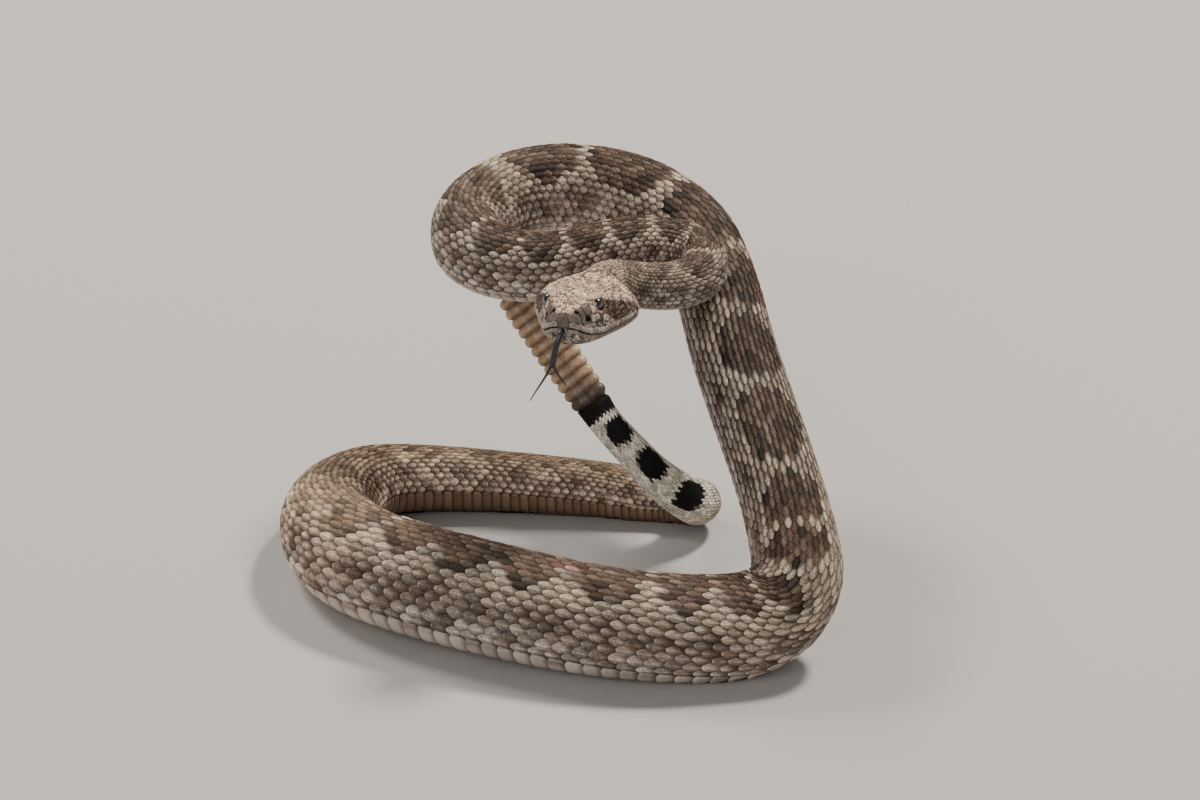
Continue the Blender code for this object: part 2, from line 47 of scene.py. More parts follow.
ROUTE = [
    (0.0, 16.0, 144.0, 9.2, 9.6, (-0.01, 0.1, 1.0)),
    (2.2, 22.9, 142.9, 9.2, 9.7, (-0.01, 0.05, 1.0)),
    (5.6, 28.8, 140.7, 9.3, 9.9, (0.0, 0.0, 1.0)),
    (11.4, 32.8, 138.0, 9.5, 10.2, (0.0, 0.0, 1.0)),
    (21.0, 34.8, 135.7, 9.7, 10.5, (0.0, 0.0, 1.0)),
    (33.0, 34.8, 135.8, 9.9, 10.8, (0.0, 0.0, 1.0)),
    (42.5, 38.5, 137.5, 10.1, 11.1, (0.0, 0.0, 1.0)),
    (46.8, 47.5, 139.4, 10.3, 11.4, (0.0, 0.0, 1.0)),
    (43.0, 57.0, 141.4, 10.6, 11.7, (0.0, 0.0, 1.0)),
    (33.5, 60.8, 143.0, 10.9, 12.1, (0.0, 0.0, 1.0)),
    (20.0, 60.5, 144.0, 11.6, 12.8, (0.0, 0.0, 1.0)),
    (-1.0, 58.0, 140.5, 12.7, 14.2, (0.0, 0.0, 1.0)),
    (-26.6, 56.0, 134.4, 14.0, 15.6, (0.0, 0.0, 1.0)),
    (-48.0, 65.0, 134.0, 15.4, 17.2, (0.0, 0.0, 1.0)),
    (-60.8, 89.0, 134.4, 16.2, 18.4, (0.0, 0.0, 1.0)),
    (-49.4, 116.0, 137.2, 16.8, 19.4, (0.0, 0.0, 1.0)),
    (-24.8, 129.5, 138.5, 17.2, 20.2, (0.0, -0.05, 1.0)),
    (2.3, 129.0, 137.7, 17.2, 20.0, (0.1, -0.15, 1.0)),
    (24.7, 118.5, 135.0, 17.2, 19.4, (0.3, -0.35, 0.9)),
    (42.9, 99.0, 128.3, 17.6, 18.8, (0.5, -0.6, 0.65)),
    (52.0, 74.0, 116.7, 18.6, 18.4, (0.52, -0.75, 0.45)),
    (58.6, 41.0, 103.4, 19.2, 18.2, (0.48, -0.83, 0.3)),
    (67.8, 8.0, 88.0, 19.0, 18.2, (0.45, -0.87, 0.25)),
    (78.2, -25.0, 70.3, 18.8, 18.4, (0.42, -0.88, 0.25)),
    (84.8, -48.0, 52.8, 19.4, 19.2, (0.34, -0.86, 0.38)),
    (86.4, -57.5, 42.0, 20.2, 20.0, (0.24, -0.8, 0.55)),
    (82.0, -63.0, 32.0, 21.2, 20.8, (0.12, -0.7, 0.7)),
    (73.6, -66.5, 25.6, 22.2, 21.3, (0.05, -0.52, 0.86)),
    (61.5, -69.0, 21.6, 23.2, 22.0, (0.0, -0.35, 0.94)),
    (30.6, -71.6, 22.0, 24.4, 22.7, (0.0, -0.15, 1.0)),
    (-4.4, -65.7, 22.8, 25.4, 23.6, (0.0, 0.0, 1.0)),
    (-39.5, -52.0, 23.4, 26.4, 24.2, (0.0, 0.1, 1.0)),
    (-74.9, -33.8, 23.7, 26.8, 24.6, (-0.05, 0.2, 0.97)),
    (-105.0, -11.7, 22.9, 25.6, 23.8, (-0.1, 0.25, 0.96)),
    (-120.9, 21.9, 20.6, 22.6, 21.4, (-0.15, 0.25, 0.95)),
    (-118.5, 58.0, 17.7, 19.6, 18.4, (-0.15, 0.3, 0.95)),
    (-104.0, 77.5, 16.1, 17.8, 16.8, (-0.05, 0.4, 0.92)),
    (-83.7, 83.4, 14.8, 16.4, 15.5, (0.0, 0.45, 0.9)),
    (-56.5, 83.8, 13.7, 15.0, 14.4, (0.0, 0.5, 0.87)),
    (-27.1, 81.8, 12.7, 13.8, 13.4, (0.0, 0.45, 0.9)),
    (2.3, 77.8, 11.9, 12.6, 12.6, (0.0, 0.38, 0.92)),
    (20.0, 74.5, 11.1, 11.6, 11.7, (0.1, 0.25, 0.96)),
    (31.5, 72.5, 10.7, 10.9, 11.2, (0.35, 0.2, 0.9)),
    (40.6, 68.4, 11.4, 10.4, 10.9, (0.65, 0.05, 0.75)),
    (44.4, 59.8, 14.6, 10.0, 10.6, (0.8, -0.15, 0.6)),
    (41.6, 51.0, 20.4, 9.7, 10.3, (0.6, -0.5, 0.6)),
    (35.4, 46.2, 26.8, 9.4, 10.1, (0.3, -0.7, 0.62)),
    (28.6, 44.2, 33.2, 8.8, 9.4, (0.16, -0.74, 0.66)),
    (21.6, 44.2, 40.4, 7.9, 8.4, (0.29, -0.62, 0.73)),
    (13.9, 47.4, 48.0, 7.4, 7.9, (0.36, -0.54, 0.75)),
    (5.6, 52.4, 55.4, 7.0, 7.7, (0.43, -0.47, 0.77)),
    (0.6, 56.4, 60.2, 6.2, 8.0, (0.56, -0.2, 0.74)),
    (-3.6, 59.8, 65.4, 5.5, 8.5, (0.72, 0.06, 0.68)),
]
# The middle of the footprint, which stands at the origin.
FOOT_MIDDLE = np.array([-18.2, 26.1, 0.0])
# How square the outline is over and under its widest line, and how deep it is underneath.
BACK_SQUARE, BELLY_SQUARE, BELLY_DEPTH = 2.1, 2.4, 0.96
# What lies lower than this is pressed flat on the floor.
FLOOR_PRESS = 1.35
# How near the surface inside a bend may come to the bend's centre, as a share of its radius.
FOLD_LIMIT = 0.86


def unit(vectors):
    return vectors / np.maximum(np.linalg.norm(vectors, axis=-1, keepdims=True), 1e-12)


def dot(a, b):
    return (a * b).sum(-1, keepdims=True)


def cubic(t, start, start_slope, end, end_slope):
    """The place at share t of the way from start to end, on the cubic with those slopes."""
    return (
        (2 * t**3 - 3 * t**2 + 1) * start
        + (t**3 - 2 * t**2 + t) * start_slope
        + (3 * t**2 - 2 * t**3) * end
        + (t**3 - t**2) * end_slope
    )


def smooth_line(rows, steps=16, passes=40):
    """A centripetal Catmull-Rom curve through the rows, sampled and then softened a little."""
    ends = np.vstack([2 * rows[0] - rows[1], rows, 2 * rows[-1] - rows[-2]])
    knots = np.sqrt(np.linalg.norm(np.diff(ends[:, :3], axis=0), axis=1))
    samples = []
    for i in range(1, len(ends) - 2):
        p0, p1, p2, p3 = ends[i - 1 : i + 3]
        d0, d1, d2 = knots[i - 1 : i + 2]
        slope1 = d1 * ((p1 - p0) / d0 - (p2 - p0) / (d0 + d1) + (p2 - p1) / d1)
        slope2 = d1 * ((p2 - p1) / d1 - (p3 - p1) / (d1 + d2) + (p3 - p2) / d2)
        samples += [cubic(t, p1, slope1, p2, slope2) for t in np.arange(steps) / steps]
    line = np.array([*samples, ends[-2]])
    for _ in range(passes):
        line[1:-1] = 0.25 * line[:-2] + 0.5 * line[1:-1] + 0.25 * line[2:]
    return line


LINE = smooth_line(np.array([[*row[:5], *row[5]] for row in ROUTE], float))
ALONG = np.concatenate([[0.0], np.cumsum(np.linalg.norm(np.diff(LINE[:, :3], axis=0), axis=1))])
TANGENT = unit(np.gradient(LINE[:, :3], ALONG, axis=0))
BENDING = np.gradient(TANGENT, ALONG, axis=0)
TAIL_TIP = ALONG[-1]


def read(table, s):
    """Columns of a table of the route, read at distances s."""
    return np.stack([np.interp(s, ALONG, column) for column in table.T], axis=-1)


def half_width(s):
    return np.interp(s, ALONG, LINE[:, 3])


def route_frame(s):
    """Places, tailward tangents, back and left directions at distances s."""
    tangent = unit(read(TANGENT, s))
    hint = read(LINE[:, 5:8], s)
    back = unit(hint - dot(hint, tangent) * tangent)
    return read(LINE[:, :3], s), tangent, back, np.cross(tangent, back)


def body_points(s, angle, lift):
    """Points of the body at distance s and angle from the back, lifted off its outline."""
    place, tangent, back, left = route_frame(s)
    wide, high = read(LINE[:, 3:5], s).T
    side, up = np.sin(angle), np.cos(angle)
    below = up < 0
    power = np.where(below, 2 / BELLY_SQUARE, 2 / BACK_SQUARE)
    across = np.sign(side) * wide * np.abs(side) ** power
    upward = np.sign(up) * high * np.where(below, BELLY_DEPTH, 1.0) * np.abs(up) ** power
    offset = across[:, None] * left + upward[:, None] * back
    offset = offset * (1 + (lift / np.linalg.norm(offset, axis=-1))[:, None])
    # Inside a tight bend the surface is held back before it passes the bend's centre.
    bend = read(BENDING, s)
    bend = bend - dot(bend, tangent) * tangent
    excess = np.maximum(dot(offset, bend) - FOLD_LIMIT, 0.0) / np.maximum(dot(bend, bend), 1e-12)
    points = place + offset - excess * bend - FOOT_MIDDLE
    points[points[:, 2] < FLOOR_PRESS, 2] = 0.0
    return points


# The head's surface
# The outline at each distance back from the snout, as in the solids, turned into a sheet with one
# coordinate back from the snout and one round it: 0 on the crown, 1 at the lips, 2 at the chin.
# Places on the head are (u, v, w): back from the snout, to the left, and up.
HEAD_LENGTH = 57.0
HEAD_ROWS = [
    # back, half width, crown, chin, mouth line, lean of the sides, squareness, tuck of the jaw
    (0, 3.6, 4.6, -3.8, 0, 0.22, 2.4, 0.80),
    (0.8, 6.0, 6.2, -5.6, -0.6, 0.28, 2.8, 0.84),
    (3, 8.6, 7.8, -7.9, -2.2, 0.30, 3.8, 0.90),
    (6, 10.6, 9.0, -9.6, -3.8, 0.28, 4.8, 0.93),
    (10, 12.8, 10.2, -10.6, -4.9, 0.23, 5.6, 0.94),
    (15, 14.9, 10.8, -11.0, -5.5, 0.17, 5.6, 0.95),
    (20, 16.9, 10.9, -11.0, -5.5, 0.15, 4.4, 0.95),
    (26, 19.8, 10.6, -10.9, -4.7, 0.15, 3.2, 0.96),
    (32, 22.4, 10.2, -10.8, -3.6, 0.15, 2.8, 0.97),
    (37, 23.4, 9.9, -10.6, -2.6, 0.15, 2.7, 0.98),
    (42, 22.2, 9.7, -10.4, -1.8, 0.13, 2.5, 0.99),
    (47, 18.2, 9.6, -10.1, -1.1, 0.09, 2.3, 1),
    (51, 13.8, 9.6, -9.9, -0.6, 0.05, 2.15, 1),
    (54, 10.8, 9.6, -9.7, -0.3, 0.02, 2.1, 1),
    (57, 9.2, 9.6, -9.6, 0, 0, 2.1, 1),
]
HEAD_COLUMNS = np.array(HEAD_ROWS, float).T
HEAD_BACK, HEAD_HALF, HEAD_CROWN, HEAD_CHIN, HEAD_MOUTH, HEAD_LEAN, HEAD_SQUARE, JAW_TUCK = HEAD_COLUMNS
JAW_SQUARE = 2.3
# Middles and radii: back, out to the side, up, and round.
EYE = (15.3, 10.7, 7.1, 2.9)
PIT = (6.9, 10.2, 2.3, 1.25)
NOSTRIL = (3.3, 6.5, 6.3, 0.8)
EYE_BACK, EYE_OUT, EYE_UP, EYE_RADIUS = EYE
PIT_DEPTH, NOSTRIL_DEPTH = 1.5, 1.0
BROW_RISE = 0.9
LIP_SWELL, MOUTH_GROOVE = 0.4, 0.55
COAT_ON_HEAD = 0.3


def head_table(table, u):
    """Values of one column of the head at distances u, along a smooth curve."""
    slopes = np.gradient(table, HEAD_BACK)
    i = np.clip(np.searchsorted(HEAD_BACK, u) - 1, 0, len(HEAD_BACK) - 2)
    width = HEAD_BACK[i + 1] - HEAD_BACK[i]
    t = (u - HEAD_BACK[i]) / width
    return cubic(t, table[i], width * slopes[i], table[i + 1], width * slopes[i + 1])


def bump(distance, reach):
    return np.exp(-((distance / reach) ** 2))


def head_section(u, phi, above):
    """Sideways and upward places on the left half of the head: phi is 0 at the lip, 90 on the
    middle line of the crown (above) or the chin."""
    half, mouth = head_table(HEAD_HALF, u), head_table(HEAD_MOUTH, u)
    top = head_table(HEAD_CROWN if above else HEAD_CHIN, u)
    square = head_table(HEAD_SQUARE, u) if above else JAW_SQUARE
    height = np.sin(phi) ** (2 / square)
    v = half * np.cos(phi) ** (2 / square)
    v = v * (1 - head_table(HEAD_LEAN, u) * height) if above else v * head_table(JAW_TUCK, u)
    w = mouth + (top - mouth) * height
    behind_snout = np.clip(u / 3.0, 0, 1) * np.clip((44 - u) / 8.0, 0, 1)
    v = v + LIP_SWELL * bump(w - mouth - (1.7 if above else -1.5), 1.1) * behind_snout
    v = v - MOUTH_GROOVE * bump(w - mouth, 0.32) * behind_snout * (v > 0)
    if above:
        brow = bump(u - EYE_BACK - 1.0, 4.6) * bump(v - 11.6, 2.2) * (height > 0.5)
        hollow = bump(u - EYE_BACK, 7.0) * bump(v, 5.0)
        eye_ring = bump(u - EYE_BACK, 3.4) * bump(w - EYE_UP + 0.6, 2.6) * (v > 8)
        w = w + BROW_RISE * brow - 0.5 * hollow * (height > 0.7)
        v = v + 0.5 * brow - 1.2 * eye_ring * (height < 0.93)
    return v, w


HEAD_U = np.concatenate([np.linspace(0, 4, 17)[:-1], np.linspace(4, HEAD_LENGTH, 140)])
HEAD_Q = np.linspace(0, 2, 241)


def head_sheet():
    """The left half of the head on an even sheet, and the lengths from crown to lip to chin."""
    phi = np.radians(90) * np.linspace(0, 1, 260) ** 3
    upper = HEAD_Q <= 1
    sheet, lengths = [], []
    for u in HEAD_U:
        halves, reaches = [], []
        for above, share in ((True, 1 - HEAD_Q[upper]), (False, HEAD_Q[~upper] - 1)):
            v, w = head_section(np.full(len(phi), u), phi, above)
            arc = np.concatenate([[0], np.cumsum(np.hypot(np.diff(v), np.diff(w)))])
            halves.append([np.interp(share * arc[-1], arc, v), np.interp(share * arc[-1], arc, w)])
            reaches.append(arc[-1])
        sheet.append(np.concatenate(halves, axis=1))
        lengths.append(reaches)
    return np.array(sheet).transpose(1, 0, 2), np.array(lengths).T


(SHEET_V, SHEET_W), (UPPER_LENGTH, LOWER_LENGTH) = head_sheet()


def sheet_read(sheet, u, q):
    """A value of the head's sheet between its rows and columns."""
    row = np.interp(u, HEAD_U, np.arange(len(HEAD_U)))
    i = np.clip(row.astype(int), 0, len(HEAD_U) - 2)
    column = np.clip(q, 0, 2) * (len(HEAD_Q) - 1) / 2
    j = np.clip(column.astype(int), 0, len(HEAD_Q) - 2)
    a, b = row - i, column - j
    near = (1 - a) * sheet[i, j] + a * sheet[i + 1, j]
    far = (1 - a) * sheet[i, j + 1] + a * sheet[i + 1, j + 1]
    return (1 - b) * near + b * far


def head_local(u, q):
    """(u, v, w) places on the head: q is negative on the right side."""
    v = np.sign(q) * sheet_read(SHEET_V, u, np.abs(q))
    w = sheet_read(SHEET_W, u, np.abs(q))
    for (back, out, up, reach), depth in ((PIT, PIT_DEPTH), (NOSTRIL, NOSTRIL_DEPTH)):
        near = np.sqrt((u - back) ** 2 + (w - up) ** 2)
        sink = depth * np.clip(1.25 - near / reach, 0, 1) ** 0.7 * (np.abs(v) > out - 3.5) * (np.abs(q) < 1)
        v = v - np.sign(v) * sink
    return np.stack([u, v, w], axis=-1)


HEAD_PLACE, HEAD_TANGENT, HEAD_UPWARD, HEAD_LEFT = (part[0] for part in route_frame(np.array([0.0])))
SNOUT_TIP = HEAD_PLACE - HEAD_LENGTH * HEAD_TANGENT - FOOT_MIDDLE


def head_world(local):
    return SNOUT_TIP + local @ np.array([HEAD_TANGENT, HEAD_LEFT, HEAD_UPWARD])


def head_points(u, q, lift):
    """Points of the head lifted along the surface's own normal."""
    step, turn = 0.15, 0.01
    here = head_local(u, q)
    further, nearer = (np.clip(u + way, 0, HEAD_LENGTH) for way in (step, -step))
    along = head_local(further, q) - head_local(nearer, q)
    round_it = head_local(u, q + turn) - head_local(u, q - turn)
    normal = unit(np.cross(along, round_it))
    normal = normal * np.sign(dot(normal, here * np.array([0, 1, 1])) + 1e-9)
    return head_world(here + lift[:, None] * normal)


# Markings
# Brown diamonds with dark edges and a row of white-rimmed scales outside them, pale bars between
# them, small dark marks along the flanks, a pale belly and a white tail with black saddles. They
# are worked out from the distance along the body and the angle from the back. Painted light and
# shade is mixed in: the brightly lit crown, the shaded neck, the shaded brown belly of the rear,
# and the shade in the hollows and the mouth crease of the head.
def hex_colour(code):
    """An sRGB colour, from 0 to 1, from its hex value."""
    return np.array([int(code[i : i + 2], 16) / 255 for i in (0, 2, 4)])


GROUND = hex_colour("958472")
FLANK = hex_colour("98877A")
LOW_FLANK = hex_colour("AE9F95")
BELLY = hex_colour("BDB0A5")
BAR = hex_colour("BFAC95")
DIAMOND = hex_colour("5D493C")
DIAMOND_EDGE = hex_colour("35281E")
WHITE_RIM = hex_colour("E2D9CB")
FLANK_MARK = hex_colour("57463A")
REAR_BELLY_SHADE = hex_colour("513A29")
TAIL_WHITE = hex_colour("E3D8C6")
TAIL_BLACK = hex_colour("12100F")
STAIN = hex_colour("93393C")
# The crown's tone is partly painted light, as the top of the head is lit brightly.
LIT_CROWN = hex_colour("D0B299")
SNOUT = hex_colour("6F6258")
CHEEK_DARK = hex_colour("56473B")
PALE_LINE = hex_colour("CDBDAB")
LIP = hex_colour("A4948A")
CHIN = hex_colour("978B80")
MOUTH_CREASE_SHADE = hex_colour("2B1613")
HOLLOW_SHADE = hex_colour("17110F")
# Each diamond's middle and half its length, along the body.
DIAMONDS = [
    (20, 6.5), (36, 6.5), (53, 7), (70, 7), (87, 7), (104, 7.5), (122, 8), (142, 9), (163, 10), (187, 12),
    (212, 12), (251, 16), (292, 17), (334, 16), (372, 16), (412, 18), (455, 18.5), (493, 12), (511, 7),
    (531, 7), (553, 12), (580, 12), (612, 15), (648, 15), (678, 13), (705, 12), (738, 14), (770, 14),
    (801, 14), (832, 14), (861, 13), (889, 13), (916, 12), (942, 11), (966, 10), (988, 8),
]
DIAMOND_MIDDLES, DIAMOND_HALVES = np.array(DIAMONDS, float).T
BETWEEN_DIAMONDS = (DIAMOND_MIDDLES[:-1] + DIAMOND_MIDDLES[1:]) / 2
# Where the twist of the body carries the middle of the diamonds off the line of the back, and how
# far round they reach, in degrees.
MIDLINE_TURN = (
    [370, 420, 500, 540, 580, 612, 648, 678, 705, 740, 790],
    [0, 12, 12, 20, 23, 18, 13, 3, 4, 10, 0],
)
DIAMOND_REACH = ([360, 410, 510, 560], [56, 46, 46, 55])
# Rows of small marks on the flanks: which diamonds or gaps they lie under, how far round from the
# back, how long, how tall, and how strong.
FLANK_MARKS = (
    (BETWEEN_DIAMONDS, 78, 5.2, 10, 0.74),
    (DIAMOND_MIDDLES, 100, 4.6, 8, 0.7),
    (BETWEEN_DIAMONDS, 118, 4.0, 6, 0.5),
)
# Black saddles of the tail and red marks on the skin: place, turn, half length and half width.
TAIL_SADDLES = [(1013, -16, 6.4, 50), (1034, -9, 6.8, 48), (1053, -24, 6.2, 50)]
STAINS = [(631, 3, 8, 7), (690, -82, 6, 5), (374, -40, 14, 9), (353, -38, 9, 8)]
# Where the body changes: the column, the coil on the floor, its paler rear, the tail and its end.
COLUMN = (345, 500)
COIL_START = (490, 520)
REAR_START = (745, 800)
TAIL_START = 998.0
BLACK_BASE = 1062.5
# One row of scales takes this many degrees round the body, and a little more where the body is
# held up off the floor, because its flank scales reach lower there.
ROWS = 25
ROW_STEP, RAISED_STEP = 8.8, 9.9


def mix(a, b, amount):
    amount = np.clip(amount, 0, 1)[..., None]
    return a * (1 - amount) + b * amount


def ramp(value, low, high):
    """Rises from 0 at low to 1 at high."""
    t = np.clip((value - low) / (high - low), 0, 1)
    return t * t * (3 - 2 * t)


def fall(value, low, high):
    """Falls from 1 at low to 0 at high."""
    return ramp(-value, -high, -low)


def row_width(s):
    """Width of one row of scales, in millimetres."""
    return half_width(s) * math.radians(ROW_STEP)


def raised(s):
    """How far the body is held up off the floor, from 0 to 1."""
    return fall(s, 350, 440)


def body_pattern_and_shading(s, angle):
    """Colour at distance s and angle in degrees from the back, with how far the place is on a
    white rim and inside a diamond."""
    from_back = np.abs(angle)
    off_tail = 1 - ramp(s, TAIL_START - 8, TAIL_START + 6)
    colour = mix(GROUND, FLANK, ramp(from_back, 45, 75))
    colour = mix(colour, LOW_FLANK, ramp(from_back, 76, 104))
    colour = mix(colour, BELLY, ramp(from_back - 22 * raised(s), 112, 120))
    nearest = np.abs(s[:, None] - DIAMOND_MIDDLES).argmin(1)
    behind, half_long = s - DIAMOND_MIDDLES[nearest], DIAMOND_HALVES[nearest]
    # Outlines and darkness wander a little from scale to scale.
    wander = np.sin(0.9 * s + 0.11 * angle) * np.sin(0.37 * s - 0.17 * angle + 1.3)
    longer = 1.05 + 0.07 * bump(s - 280, 55) - 0.04 * ramp(s, 330, 350) + 0.15 * ramp(s, 535, 570)
    reach = np.abs(behind) / (half_long * longer)
    side = np.abs(angle - np.interp(s, *MIDLINE_TURN)) / np.interp(s, *DIAMOND_REACH)
    power = 1.5 + 0.8 * fall(s, *COIL_START)
    edge = (reach**power + side**power) ** (1 / power) * (1 + 0.06 * wander)
    # How far outside the diamond's edge, in millimetres, so that the pale rim is one scale wide.
    steep_along = (reach / edge) ** (power - 1) / half_long
    steep_round = (side / edge) ** (power - 1) / (0.98 * half_width(s))
    outside = (edge - 1) / np.hypot(steep_along, steep_round)
    rim_wide = row_width(s)
    in_bar = ramp(outside, 0.3 * rim_wide, rim_wide) * fall(from_back, 38, 60)
    colour = mix(colour, BAR, 0.12 * in_bar * off_tail * ramp(s, 10, 80))
    # The diamonds are darkest at their edges, faint on the neck and at the rear, and their middles
    # are faded along the coil on the floor.
    inside = fall(outside, -0.35, 0.35) * off_tail
    rim_dark = ramp(edge, 0.62, 0.98) * ramp(from_back, 16, 42)
    rim_dark = np.maximum(rim_dark, 0.55 * ramp(edge, 0.8, 0.98)) * np.clip(0.85 + 0.6 * wander, 0, 1)
    faint = 0.6 * fall(s, 20, 75) + 0.7 * ramp(s, 715, 775) + 0.3 * bump(s - 205, 32)
    diamond = mix(DIAMOND, GROUND, 0.08 * ramp(s, 520, 560) * fall(edge, 0.5, 0.95))
    diamond = mix(diamond, DIAMOND_EDGE, np.maximum(rim_dark, 0.3 * fall(s, *COIL_START)))
    colour = mix(colour, diamond, inside * (1 - faint))
    white = ramp(outside, -0.1, 0.4) * fall(outside, 0.75 * rim_wide, 1.15 * rim_wide)
    white = white * fall(from_back, 64, 80) * off_tail * (1 - faint) * np.where(behind > 0, 1.0, 0.55)
    # The neck is a little darker than the loop and bend, as painted shade behind the brightly lit crown, and
    # so is the stretched skin of the column.
    light = 1.08 - 0.1 * fall(s, 45, 95) - 0.12 * ramp(s, COLUMN[0], COLUMN[0] + 30)
    light = light + 0.18 * bump(s - 525, 40) + 0.04 * ramp(s, 500, 560)
    colour = colour * (1 + (light - 1) * (1 - 0.8 * inside))[:, None]
    # The crown's paler tone, partly painted light, runs a little way on to the neck.
    colour = mix(colour, LIT_CROWN, 0.42 * fall(s, 1, 24) * fall(from_back, 50, 110))
    # The rear of the body is paler, and its belly is darkened to brown as painted shade.
    colour = mix(colour, colour * np.array([1.3, 1.25, 1.19]), ramp(s, 690, 780) * off_tail)
    colour = mix(colour, REAR_BELLY_SHADE, 0.75 * ramp(s, 770, 860) * off_tail * ramp(from_back, 100, 116))
    for places, down, long, tall, strength in FLANK_MARKS:
        gap = np.abs(s[:, None] - places).min(1) * 26 / (6 + half_width(s))
        mark = bump(gap, long) * bump(from_back - down, tall) * strength
        colour = mix(colour, FLANK_MARK, mark * 1.25 * off_tail)
    colour = mix(colour, mix(TAIL_WHITE, BELLY, ramp(from_back, 110, 150)), 1 - off_tail)
    black = ramp(s, BLACK_BASE - 1.2, BLACK_BASE + 0.8)
    for middle, turn, long, wide in TAIL_SADDLES:
        reach = (np.abs((s - middle) / long) ** 3 + np.abs((angle - turn) / wide) ** 3) ** (1 / 3)
        black = np.maximum(black, fall(reach * (1 + 0.1 * wander), 0.86, 1.0))
    colour = mix(colour, TAIL_BLACK, black)
    for middle, turn, long, wide in STAINS:
        reach = np.hypot((s - middle) / long, (angle - turn) / wide)
        colour = mix(colour, STAIN, 0.42 * fall(reach, 0.5, 1.1))
    return colour, white, inside


def head_pattern_and_shading(local):
    """Colour of the head at (u, v, w)."""
    u, v, w = local.T
    along = np.clip(u, 0, HEAD_LENGTH)
    over_mouth = w - head_table(HEAD_MOUTH, along)
    colour = mix(LIT_CROWN, SNOUT, ramp(head_table(HEAD_CROWN, along) - w, 1.2, 2.6) * fall(u, 14, 20))
    # The dark stripe from the eye to the corner of the mouth, with a pale line on either side.
    over_low = w - 6.5 + (u - 11.5) * 0.98
    under_high = 10.6 - (u - 15) * 0.36 - w
    dark = ramp(over_low, 0.6, 1.6) * ramp(under_high, 0.2, 1.0) * ramp(u, 12, 16) * fall(u, 34, 41)
    colour = mix(colour, CHEEK_DARK, dark * 0.92)
    low_line = bump(over_low + 0.6, 1.0) * ramp(u, 10.5, 13)
    high_line = bump(under_high + 0.5, 0.7) * ramp(u, 15, 19) * fall(u, 33, 40)
    colour = mix(colour, PALE_LINE, (low_line + high_line) * 0.85)
    colour = mix(colour, LIP, bump(over_mouth - 1.6, 1.5) * 0.75 * (over_mouth > 0) * fall(u, 30, 38))
    colour = mix(colour, CHIN, fall(over_mouth, -0.5, 0.2))
    # Painted shade, dark red-brown, in the crease between the lips.
    in_mouth = bump(over_mouth, 0.34) * fall(u, 33, 38) * ramp(np.abs(v), 1.0, 3.0)
    colour = mix(colour, MOUTH_CREASE_SHADE, in_mouth * 0.9)
    # Painted shade in the pits, in the nostrils and round the eyes.
    for (back, out, up, reach), wider in ((PIT, 0.0), (NOSTRIL, 0.1), (EYE, 0.0)):
        near = np.hypot(u - back, w - up) / (reach + wider)
        colour = mix(colour, HOLLOW_SHADE, 0.95 * fall(near, 0.85, 1.15) * (np.abs(v) > out - 4))
    neck, _, _ = body_pattern_and_shading(np.clip(u - HEAD_LENGTH, 0, None), np.degrees(np.arctan2(v, w)))
    return mix(colour, neck, ramp(u, 41, 57))


# The skin
# One closed sheet from the snout to the rattle, seen as dark lines between the scales, its colour
# darkened there as painted shade. It lies inside the scales by the depth of the coat, and takes
# the place of every node of flesh.
FLESH_NODES = [
    "head", "lower_jaw", "neck", "neck_bend", "upper_near_strand", "upper_left_turn_near",
    "upper_left_turn_far", "upper_far_strand", "upper_right_turn", "column_upper", "column_lower",
    "right_bend", "front_run_right", "front_run_left", "left_bend_front", "left_bend_rear",
    "rear_run", "rear_run_end", "tail_root", "tail",
]
# The dark brown the skin is drawn towards, as painted shade between the scales.
SHADE_BETWEEN_SCALES = hex_colour("2A211C")
SKIN_AROUND = 128
SKIN_STEP = 1.7
# The end of the tail draws in to the rattle, over its last millimetres.
TIP_REACH, TIP_TAPER = 2.4, 1.1
# The bake map is four strips: the head, and three lengths of the body.
STRIPS = 4
BODY_STRIP = TAIL_TIP / (STRIPS - 1)


def coat_depth(s):
    return 0.05 + 0.15 * row_width(s)


def tip_taper(s):
    return TIP_TAPER * ramp(s, TAIL_TIP - TIP_REACH, TAIL_TIP)


def bake_place(s, turn):
    """Where a place of the body lies on the bake map: turn runs from 0 to 1 round the body."""
    strip = np.clip((s / BODY_STRIP).astype(int), 0, STRIPS - 2) + 1
    along = np.where(s < 0, (s + HEAD_LENGTH) / HEAD_LENGTH, s / BODY_STRIP - (strip - 1))
    strip = np.where(s < 0, 0, strip)
    return np.stack([0.01 + 0.98 * np.clip(along, 0, 1), (strip + 0.02 + 0.96 * turn) / STRIPS], axis=-1)


def ring_quads(rings, sides):
    """Quads between rings of points, from each ring to the next and all the way round."""
    a = np.arange((rings - 1) * sides)
    b = a - a % sides + (a + 1) % sides
    return np.stack([a, b, b + sides, a + sides], -1)


def fan(first, sides, tip, turned=False):
    """Triangles from a ring of points to a tip; turned, they face the other way."""
    a = np.arange(sides)
    b = (a + 1) % sides
    if turned:
        a, b = b, a
    return np.stack([first + a, first + b, np.full(sides, tip)], -1)


def to_linear(colour):
    colour = np.clip(colour, 0, 1)
    return np.where(colour <= 0.04045, colour / 12.92, ((colour + 0.055) / 1.055) ** 2.4)


def add_node(tree, kind, **inputs):
    """A node with its inputs set: a value is put on the socket, and a socket is linked to it."""
    node = tree.nodes.new(kind)
    for name, value in inputs.items():
        socket = node.inputs.get(name.replace("_", " "))
        if socket is None:
            setattr(node, name, value)
        elif isinstance(value, bpy.types.NodeSocket):
            tree.links.new(value, socket)
        else:
            socket.default_value = value
    return node


def plain_material(name, **settings):
    """A new material, and its shader with these settings on its own sockets."""
    made = bpy.data.materials.new(name)
    made.use_nodes = True
    shader = made.node_tree.nodes["Principled BSDF"]
    for socket, value in settings.items():
        shader.inputs[socket.replace("_", " ")].default_value = value
    return made, made.node_tree, shader


